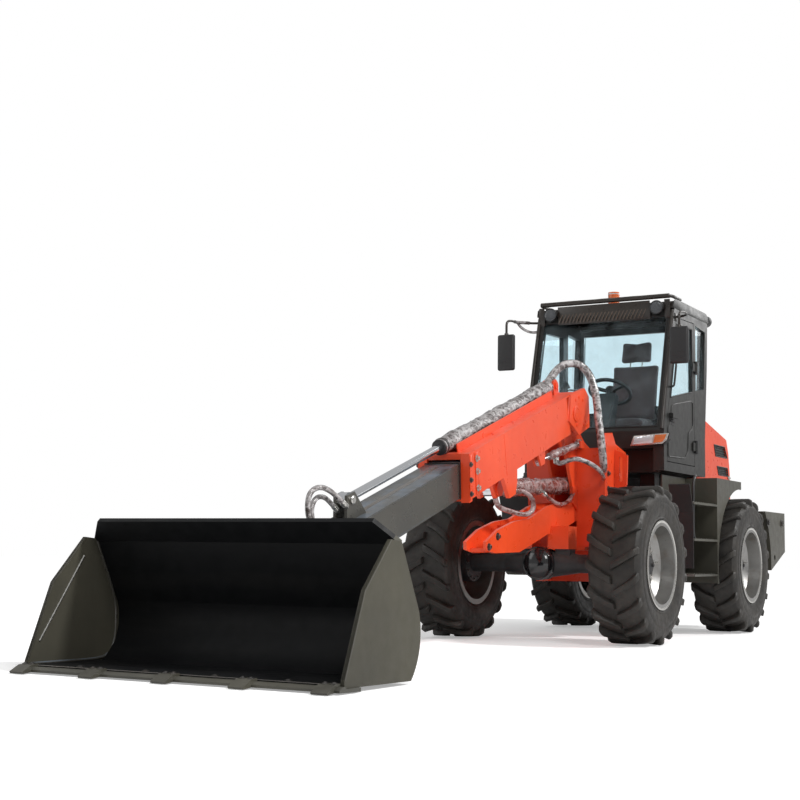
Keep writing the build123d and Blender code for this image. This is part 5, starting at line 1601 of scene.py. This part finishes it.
@dataclass
class Hoses(SubAssembly):
    """The film-wrapped hydraulic hoses, each one smooth line held at both ends."""

    def hose(
        self, name: str, body: str, points: Sequence[Point], diameter: float, finish: Finish = WRAP,
        lay: str = "hanging", crosses: Sequence[object] = (),
    ) -> None:
        """Args:
            name: The hose's name.
            body: The body it rides on.
            points: Its NURBS control points, from its exit to where it goes back in.
            diameter: Its outside diameter.
            finish: Its surface.
            lay: Not used.
            crosses: When given, the tube's place is baked into its mesh and it is attached to no body; its
                body and points are not used.
        """
        line = line_piece(name + "_line", points, 0.0)
        line.data.bevel_depth = 0.0
        trace = bpy.data.meshes.new_from_object(line.evaluated_get(bpy.context.evaluated_depsgraph_get()))
        bpy.data.objects.remove(line)
        tube = meshed(line_piece(name, points, diameter / 2, resolution=10))
        settled(tube, name)
        self.dress(tube, finish, body, bends=crosses)

    def ferrule(self, name: str, body: str, at: Point, towards: Point, radius: float) -> None:
        """Puts a crimped ferrule with a hexagon on a hose's end.

        Args:
            name: The ferrule's name.
            body: The body it rides on.
            at: The hose's end.
            towards: The next point along the hose.
            radius: The hose's radius.
        """
        way = pointing(Vector(towards) - Vector(at))
        # along the hose, radius as a share of the hose's
        crimps = (
            (0.0, 1.15), (0.008, 1.28), (0.012, 1.15), (0.018, 1.28), (0.024, 1.15), (0.03, 1.28),
            (0.038, 1.18), (0.044, 1.05),
        )
        hexagon = ((-0.022, 1.1), (-0.02, 1.35), (-0.002, 1.35), (0.0, 1.1))
        crimp = turned(name, (0, 0, 0), Axis.Z, [(along, radius * share) for along, share in crimps], 20)
        nut = turned(
            name + "_nut", (0, 0, 0), Axis.Z, [(along, radius * share) for along, share in hexagon], 6,
        )
        piece = joined([crimp, nut], name)
        piece.data.transform(Matrix.Translation(Vector(at)) @ way)
        self.dress(piece, BRIGHT, body)

    def build(self) -> None:
        """Runs every hose along its route and puts the ferrules on."""
        arch_bend = ("front_body", (0.25, 0.98, 1.9), (0.35, 0.83, 1.5))
        cross_bend = ("front_body", (0.17, 0.47, 1.36), (0.34, 0.6, 1.34))
        for name, body, diameter, finish, bend in (
            ("hose_arch", "boom_body", 0.064, WRAP, arch_bend),
            ("hose_cross", "levelling_barrel_body", 0.038, WRAP, cross_bend),
            ("hose_lift_front", "lift_barrel_body", 0.038, WRAP_RED, ()),
            ("hose_lift_low", "lift_barrel_body", 0.034, WRAP_RED, ()),
            ("hose_head", "inner_boom_body", 0.032, WRAP, ()),
            ("hose_head_second", "inner_boom_body", 0.03, WRAP, ()),
        ):
            self.hose(name, body, ROUTES[name], diameter, finish, "hanging", bend)
        for name, body, route, radius in (
            ("ferrule_lift", "lift_barrel_body", "hose_lift_front", 0.018),
            ("ferrule_low", "lift_barrel_body", "hose_lift_low", 0.016),
            ("ferrule_head", "inner_boom_body", "hose_head", 0.015),
            ("ferrule_cross", "levelling_barrel_body", "hose_cross", 0.018),
            ("ferrule_second", "inner_boom_body", "hose_head_second", 0.014),
        ):
            self.ferrule(name, body, *ROUTES[route][:2], radius)


# ---- cab and hood -------------------------------------------------------------------------------
@dataclass
class Cab(SubAssembly):
    """The cab's shell, lamps, mirrors, visor, steering wheel and small fittings."""

    front: float = 1.54
    screen_top: float = 1.825
    roof_low: float = 2.73

    def screen(self, z: float) -> float:
        """Gives the y of the windscreen frame's front face at a height."""
        return self.front + (self.screen_top - self.front) * (z - 1.68) / (self.roof_low - 1.68)

    def shell(self) -> None:
        """Paints the shell and adds the screen's seal, front posts, bar sleeve and side caps."""
        self.paint_nodes(cab_tub=CAB_BLACK, cab_frame=CAB_BLACK, cab_roof=ROOF, cab_glass=GLASS)
        self.paint_nodes(door_hinges=TRIM, lamps=TRIM, roof_bar=ROOF, beacon=AMBER, controls=TRIM)
        outline = [(-0.562, 1.712), (0.562, 1.712), (0.562, 2.668), (-0.562, 2.668)]
        corners = [(x, self.screen(z) + 0.001, z) for x, z in outline]
        self.dress(rim_of(corners, 0.008, "screen_seal"), SEAL)
        posts = []
        for side in (-1, 1):
            line = [(side * 0.604, self.screen(z) - 0.004, z) for z in (1.69, 2.2, 2.715)]
            posts.append(bent_bar("post", line, 0.017))
        self.dress(joined(posts, "front_posts"), ROOF)
        sleeve = bent_bar(
            "roof_bar_sleeve", [(x, 1.803, 2.835) for x in (-0.585, -0.2, 0.2, 0.585)], 0.0205,
        )
        self.dress(wrinkle(sleeve, 0.004, 0.03), ROOF)
        crown = [
            (1.8, 2.7295), (1.795, 2.745), (1.808, 2.79), (1.85, 2.8125), (2.69, 2.8125), (2.742, 2.79),
            (2.757, 2.745), (2.757, 2.7295),
        ]
        cap = plate("roof_side_caps", crown, "YZ", 0.6185, 0.6225, 0.0015)
        self.dress(both_sides(cap, "roof_side_caps"), CAB_BLACK)

    def visor(self) -> None:
        """Adds the slatted sun visor under the roof bar; the slats are modelled, and their lighter brown is
        painted highlight for diagonal bright streaks.
        """
        runs = ((-0.596, -0.546), (-0.42, 0.42), (0.546, 0.596))
        section = [(1.776, 2.803), (1.784, 2.805), (1.803, 2.65), (1.795, 2.647)]
        panels = [plate("visor", section, "YZ", low, high, 0.002) for low, high in runs]
        self.dress(joined(panels, "sun_visor"), ROOF)
        # diagonal slats in a lighter brown that paints in bright highlight streaks
        slats = []
        for k in range(24):
            slat = brick("slat", (-0.0045, -0.0025, -0.076), (0.0045, 0.0025, 0.076), 0.001, 1)
            lean = Matrix.Rotation(math.radians(-7.2), 4, "X") @ Matrix.Rotation(math.radians(24), 4, "Y")
            slat.data.transform(Matrix.Translation((-0.38 + 0.033 * k, 1.7855, 2.726)) @ lean)
            slats.append(slat)
        self.dress(joined(slats, "visor_slats"), SLAT_PAINTED_HIGHLIGHT)

    def lamps(self) -> None:
        """Adds bezels and lenses to the head lamps and work lamps, and finishes the beacon."""
        for side, tag, _ in reversed(SIDES):
            edge = [
                (0.352, 1.548), (0.63, 1.562), (0.666, 1.592), (0.684, 1.646), (0.65, 1.648),
                (0.386, 1.632),
            ]
            mirrored = [(side * x, z) for x, z in edge]
            self.dress(plate("bezel_" + tag, mirrored, "XZ", 1.4745, 1.4815, 0.003), BRIGHT)
            clear_part = [
                (side * x, z)
                for x, z in ((0.372, 1.56), (0.54, 1.568), (0.552, 1.634), (0.398, 1.622))
            ]
            self.dress(plate("head_lens_" + tag, clear_part, "XZ", 1.4705, 1.4765, 0.002), CLEAR_LENS)
            turn_part = [
                (side * x, z)
                for x, z in ((0.552, 1.57), (0.626, 1.576), (0.65, 1.6), (0.664, 1.638), (0.566, 1.635))
            ]
            self.dress(plate("turn_lens_" + tag, turn_part, "XZ", 1.4705, 1.4765, 0.002), AMBER_LENS)
            centre = (side * 0.483, 1.7607, 2.737)
            self.dress(
                ring(
                    "work_bezel_" + tag, centre, Axis.FRONT_FACE,
                    [
                        (-0.006, 0.052), (0.006, 0.052), (0.008, 0.055), (0.008, 0.0585), (0.0, 0.0605),
                        (-0.006, 0.0605),
                    ],
                    40,
                ),
                TRIM,
            )
            self.dress(
                turned(
                    "work_lens_" + tag, centre, Axis.FRONT_FACE,
                    [(-0.001, 0.052), (0.003, 0.051), (0.0055, 0.038), (0.0065, 0.015)], 36,
                ),
                SMOKED,
            )
        rear = turned(
            "rear_work_lamp", (0.575, 2.815, 2.765), Axis.REAR_FACE,
            [(-0.03, 0.03), (-0.02, 0.048), (0.03, 0.052), (0.036, 0.05), (0.038, 0.04)], 32,
        )
        self.dress(rear, TRIM)
        stalk = bent_bar(
            "rear_lamp_stalk",
            [(0.575, 2.748, 2.772), (0.575, 2.765, 2.772), (0.575, 2.778, 2.768), (0.575, 2.79, 2.766)],
            0.011,
        )
        self.dress(stalk, TRIM)
        wedge = [(-0.003, 0.047), (0.003, 0.047), (0.0, 0.0515)]
        ribs = [ring("rib", (0, 2.04, 2.83 + 0.017 * k), Axis.Z, wedge, 36) for k in range(6)]
        self.dress(joined(ribs, "beacon_ribs"), AMBER)
        self.dress(
            turned(
                "beacon_crown", (0, 2.04, 2.925), Axis.Z,
                [(0.0, 0.0505), (0.008, 0.0505), (0.016, 0.044), (0.0195, 0.025)], 36,
            ),
            CLEAR_LENS,
        )

    def mirrors(self) -> None:
        """Models the mirrors afresh: rounded shells, silvered glass, bent arms and wrapped film."""
        shells, arms, glass = [], [], []
        # side, place across, glass bottom and top, the foot's inner and outer face and height
        for side, x, low, high, feet, top in (
            (1, 0.762, 2.215, 2.52, (0.62, 0.626), 0.17),
            (-1, 0.79, 2.235, 2.55, (-0.626, -CAB_SIDE_X), 0.15),
        ):
            shells.append(
                brick("shell", (side * x - 0.08, 1.498, low), (side * x + 0.08, 1.542, high), 0.02, 5)
            )
            glass.append(
                brick(
                    "glass", (side * x - 0.068, 1.5415, low + 0.014),
                    (side * x + 0.068, 1.5432, high - 0.014), 0.0008, 1,
                )
            )
            for k in range(3):
                foot = low + 0.05 + 0.022 * k
                shells.append(
                    brick(
                        "rib", (side * x - 0.055, 1.4965, foot), (side * x + 0.055, 1.4995, foot + 0.006),
                        0.001, 1,
                    )
                )
            # across, along, above the glass
            bends = (
                (CAB_SIDE_X, 1.86, 0.14), (0.68, 1.86, 0.142), (0.71, 1.83, 0.142), (x, 1.74, 0.14),
                (x, 1.59, 0.136), (x, 1.52, 0.11), (x, 1.52, 0.04), (x, 1.52, -0.012),
            )
            arms.append(bent_bar("arm", [(side * a, b, high + rise) for a, b, rise in bends], 0.0105))
            arms.append(
                turned(
                    "socket", (side * x, 1.52, high - 0.012), Axis.Z,
                    [(0.0, 0.02), (0.022, 0.017), (0.026, 0.013)], 16,
                )
            )
            arms.append(brick("foot", (feet[0], 1.835, high + 0.105), (feet[1], 1.885, high + top), 0.002))
        loop = [
            (-CAB_SIDE_X, 1.8, 2.6), (-0.655, 1.795, 2.598), (-0.7, 1.785, 2.606), (-0.745, 1.765, 2.632),
            (-0.775, 1.75, 2.662), (-0.788, 1.742, 2.688),
        ]
        self.dress(wrinkle(bent_bar("mirror_brace", loop, 0.012), 0.004, 0.02), WRAP)
        cuff = bent_bar(
            "mirror_arm_film",
            [(-0.712, 1.829, 2.692), (-0.75, 1.785, 2.692), (-0.789, 1.74, 2.69), (-0.79, 1.69, 2.689)],
            0.015,
        )
        self.dress(wrinkle(cuff, 0.005, 0.02), WRAP)
        self.dress(joined(shells, "mirror_shells"), TRIM, stands_for=["mirrors"])
        self.dress(joined(arms, "mirror_arms"), ROOF)
        self.dress(joined(glass, "mirror_glass"), SILVERED)

    def interior(self) -> None:
        """Adds the control lever, the console's switches and the steering wheel's hub."""
        boot = turned(
            "lever_boot", (-0.44, 2.0, 2.119), Axis.Z,
            [
                (0.0, 0.045), (0.012, 0.043), (0.02, 0.034), (0.026, 0.036), (0.034, 0.028), (0.04, 0.03),
                (0.05, 0.02),
            ],
            24,
        )
        stick = bent_bar(
            "stick",
            [(-0.44, 2.0, 2.165), (-0.44, 1.995, 2.2), (-0.438, 1.975, 2.235), (-0.435, 1.965, 2.26)],
            0.008,
        )
        grip = turned(
            "grip", (-0.435, 1.962, 2.255), Axis.Z,
            [(0.0, 0.014), (0.01, 0.019), (0.045, 0.021), (0.08, 0.024), (0.1, 0.02), (0.108, 0.01)], 20,
        )
        self.dress(joined([boot, stick, grip], "control_lever"), TRIM)
        starts = [-0.53 + 0.045 * k for k in range(4)]
        switches = [brick("switch", (x, 2.19, 2.1195), (x + 0.032, 2.245, 2.131), 0.003) for x in starts]
        self.dress(joined(switches, "console_switches"), PALE)
        tilt = Matrix.Translation((0, 1.94, 2.05)) @ Matrix.Rotation(math.radians(-30), 4, "X")
        hub = turned(
            "hub", (0, 0, 0), Axis.Z, [(0.02, 0.046), (0.04, 0.044), (0.052, 0.036), (0.056, 0.015)], 28,
        )
        hub.data.transform(tilt)
        self.dress(hub, TRIM)

    def build(self) -> None:
        """Builds the cab's details."""
        self.shell()
        self.visor()
        self.lamps()
        self.mirrors()
        self.interior()


@dataclass
class Door(SubAssembly):
    """The left door with its raised panel, handles, lock and window seal."""

    body: str = "door_body"
    face: float = CAB_SIDE_X

    def build(self) -> None:
        """Adds the stepped panel line, grab handle, latch and seals."""
        self.paint_nodes(cab_door=CAB_BLACK, door_glass=GLASS)
        step = [
            (1.64, 1.47), (1.64, 1.7), (1.7, 1.76), (1.74, 1.905), (2.29, 1.99), (2.29, 1.76), (2.17, 1.7),
            (2.15, 1.54), (2.06, 1.48), (1.66, 1.47),
        ]
        line = bent_bar("door_panel_line", [(self.face + 0.0006, *corner) for corner in step], 0.0055, 2)
        self.dress(line, CAB_BLACK)
        sill = [(1.712, 1.965), (1.89, 2.6), (2.28, 2.612), (2.28, 2.065)]
        self.dress(
            rim_of([(self.face - 0.001, *corner) for corner in sill], 0.007, "door_window_seal"), SEAL,
        )
        cup = brick("cup", (self.face - 0.002, 1.69, 1.735), (self.face + 0.004, 1.8, 1.805), 0.003)
        lever = brick(
            "lever", (self.face + 0.003, 1.705, 1.76), (self.face + 0.018, 1.785, 1.785), 0.006, 3,
        )
        lock = turned(
            "lock", (self.face + 0.003, 1.7, 1.772), Axis.LEFT_FACE,
            [(0.0, 0.01), (0.006, 0.01), (0.008, 0.006)], 16,
        )
        self.dress(joined([cup, lever, lock], "door_latch"), TRIM)
        grab = bent_bar(
            "door_grab",
            [
                (self.face, 1.7, 2.05), (self.face + 0.03, 1.703, 2.052), (self.face + 0.034, 1.712, 2.08),
                (self.face + 0.034, 1.748, 2.2), (self.face + 0.034, 1.76, 2.245),
                (self.face + 0.026, 1.768, 2.268), (self.face, 1.77, 2.27),
            ],
            0.009,
        )
        self.dress(grab, TRIM)


@dataclass
class Hood(SubAssembly):
    """The engine hood with louvres, latch, filler cap and seams."""

    body: str = "hood_body"

    def build(self) -> None:
        """Adds vent rims and slats, side latches, a filler cap and a seam on each side."""
        self.paint_nodes(engine_hood=ORANGE, hood_grilles=TRIM)
        rear_axle = REAR_AXLE_Y
        for tag, corners in (
            ("upper", ((0.375, 1.69), (0.705, 1.69), (0.79, 1.588), (0.42, 1.588))),
            ("lower", ((0.465, 1.495), (0.79, 1.495), (0.82, 1.417), (0.51, 1.417))),
        ):
            rim = [(0.5005, rear_axle + y, z) for y, z in corners]
            self.dress(both_sides(rim_of(rim, 0.0045, "rim"), "vent_rim_" + tag), TRIM)
            slats = []
            high, low = corners[0][1], corners[2][1]
            for k in range(4):
                share = (k + 0.7) / 4.4
                z = high + (low - high) * share
                start = corners[0][0] + (corners[3][0] - corners[0][0]) * share
                end = corners[1][0] + (corners[2][0] - corners[1][0]) * share
                slat = brick(
                    "slat", (0.4885, rear_axle + start, z - 0.002), (0.4995, rear_axle + end, z + 0.002),
                    0.0008, 1,
                )
                slats.append(slat)
            self.dress(both_sides(joined(slats, "slats"), "vent_slats_" + tag), CHASSIS)
        latch = turned(
            "latch", (0.5005, rear_axle + 0.84, 1.405), Axis.LEFT_FACE,
            [(0.0, 0.02), (0.006, 0.02), (0.009, 0.014), (0.009, 0.006)], 24,
        )
        arm = brick("arm", (0.503, rear_axle + 0.79, 1.397), (0.513, rear_axle + 0.865, 1.411), 0.004, 3)
        self.dress(both_sides(joined([latch, arm], "latch"), "hood_latches"), BRIGHT)
        cap = turned(
            "hood_cap", (0.43, rear_axle + 0.12, 1.8845), Axis.Z,
            [(0.0, 0.034), (0.01, 0.034), (0.014, 0.025), (0.04, 0.023), (0.052, 0.016)], 24,
        )
        self.dress(cap, ORANGE)
        seam = bent_bar("hood_seam", [(0.5002, y, 1.2) for y in (2.8, 3.2, 3.77)], 0.0025)
        self.dress(both_sides(seam, "hood_seams"), ORANGE)


# ---- seat ---------------------------------------------------------------------------------------
@dataclass
class Seat(SubAssembly):
    """The driver's seat: three swelled cloth pads on a plain pan and pedestal."""

    axis_y: float = 2.18
    offset: Point = (0.055, 0.0, 0.035)
    voxel: float = 0.0065

    def pad(self, name: str, outline: Outline, half: float, swell: float, fill: float) -> Piece:
        """Args:
            name: The pad's name.
            outline: (y, z) corners of its side view.
            half: Half its width.
            swell: The most that a point may move.
            fill: Not used.

        Returns:
            The pad.
        """
        piece = plate(name, outline, "YZ", -half, half, 0.024, 4)
        apply_modifier(piece, "REMESH", mode="VOXEL", voxel_size=self.voxel)
        start = [vertex.co.copy() for vertex in piece.data.vertices]
        only(piece)
        cloth = piece.modifiers.new("cloth", "CLOTH")
        cloth.settings.use_pressure = True
        cloth.settings.uniform_pressure_force = 4.0
        cloth.settings.effector_weights.gravity = 0.0
        cloth.settings.quality = 5
        cloth.collision_settings.use_collision = False
        cloth.point_cache.frame_start = 1
        cloth.point_cache.frame_end = 20
        for frame_number in range(1, 21):
            bpy.context.scene.frame_set(frame_number)
        bpy.ops.object.modifier_apply(modifier=cloth.name)
        bpy.context.scene.frame_set(1)
        for vertex, old in zip(piece.data.vertices, start):
            move = vertex.co - old
            if move.length > swell:
                vertex.co = old + move.normalized() * swell
        apply_modifier(piece, "SMOOTH", factor=0.6, iterations=6)
        apply_modifier(piece, "SUBSURF", levels=1, render_levels=1)
        settled(piece, name)
        piece.data.transform(Matrix.Translation(self.offset))
        smooth(piece, 60)
        return piece

    def build(self) -> None:
        """Builds the pads, the pan, the pedestal, the head rest's posts and the belt's buckle."""
        y = self.axis_y
        cushion = self.pad(
            "seat_cushion", [(y - 0.215, 1.715), (y - 0.205, 1.78), (y + 0.11, 1.795), (y + 0.12, 1.715)],
            0.228, 0.016, 0.8,
        )
        self.dress(cushion, CLOTH, stands_for=["operator_seat"])
        back = self.pad(
            "seat_back", [(y + 0.125, 1.8), (y + 0.215, 1.8), (y + 0.315, 2.31), (y + 0.235, 2.315)], 0.215,
            0.014, 0.75,
        )
        self.dress(back, CLOTH)
        head = self.pad(
            "head_rest", [(y + 0.238, 2.335), (y + 0.3, 2.335), (y + 0.335, 2.52), (y + 0.275, 2.525)],
            0.138, 0.014, 0.75,
        )
        self.dress(head, CLOTH)
        pan = plate(
            "seat_pan",
            [
                (y - 0.2, 1.69), (y - 0.21, 1.712), (y + 0.205, 1.712), (y + 0.222, 1.79),
                (y + 0.246, 1.79), (y + 0.235, 1.69),
            ],
            "YZ", -0.232, 0.232, 0.006,
        )
        pan.data.transform(Matrix.Translation(self.offset))
        self.dress(pan, TRIM)
        pedestal = plate(
            "seat_pedestal",
            [
                (y - 0.155, 1.392), (y - 0.155, 1.43), (y - 0.1, 1.46), (y - 0.12, 1.725),
                (y + 0.16, 1.725), (y + 0.14, 1.46), (y + 0.195, 1.43), (y + 0.195, 1.392),
            ],
            "YZ", -0.165, 0.165, 0.008,
        )
        pedestal.data.transform(Matrix.Translation((self.offset[0], 0.0, 0.0)))
        self.dress(pedestal, CHASSIS)
        rise = ((y + 0.262, 2.27), (y + 0.272, 2.33), (y + 0.285, 2.39))
        posts = [bent_bar("post", [(side * 0.055, *place) for place in rise], 0.006) for side in (-1, 1)]
        stems = joined(posts, "head_rest_posts")
        stems.data.transform(Matrix.Translation(self.offset))
        self.dress(stems, BRIGHT)
        belt = bent_bar(
            "belt_buckle_stalk",
            [(0.236, y + 0.15, 1.72), (0.238, y + 0.145, 1.78), (0.236, y + 0.13, 1.86)], 0.008,
        )
        buckle = brick("buckle", (0.222, y + 0.11, 1.855), (0.249, y + 0.15, 1.925), 0.005)
        fastener = joined([belt, buckle], "belt_buckle")
        fastener.data.transform(Matrix.Translation(self.offset))
        self.dress(fastener, TRIM)


def main() -> None:
    """Builds every sub-assembly in turn and logs the time taken after each."""
    started = time.time()
    assemblies: list = [
        Studio(), Chassis(), *(Wheel("wheel_" + name, label=name) for name in WHEELS), Boom(), Bucket(),
        Hoses(), Cab(), Door(), Hood(), Seat(),
    ]
    for assembly in assemblies:
        assembly.build()
        LOG.info("%s built after %.1f s", type(assembly).__name__, time.time() - started)


if __name__ == "__main__":
    main()
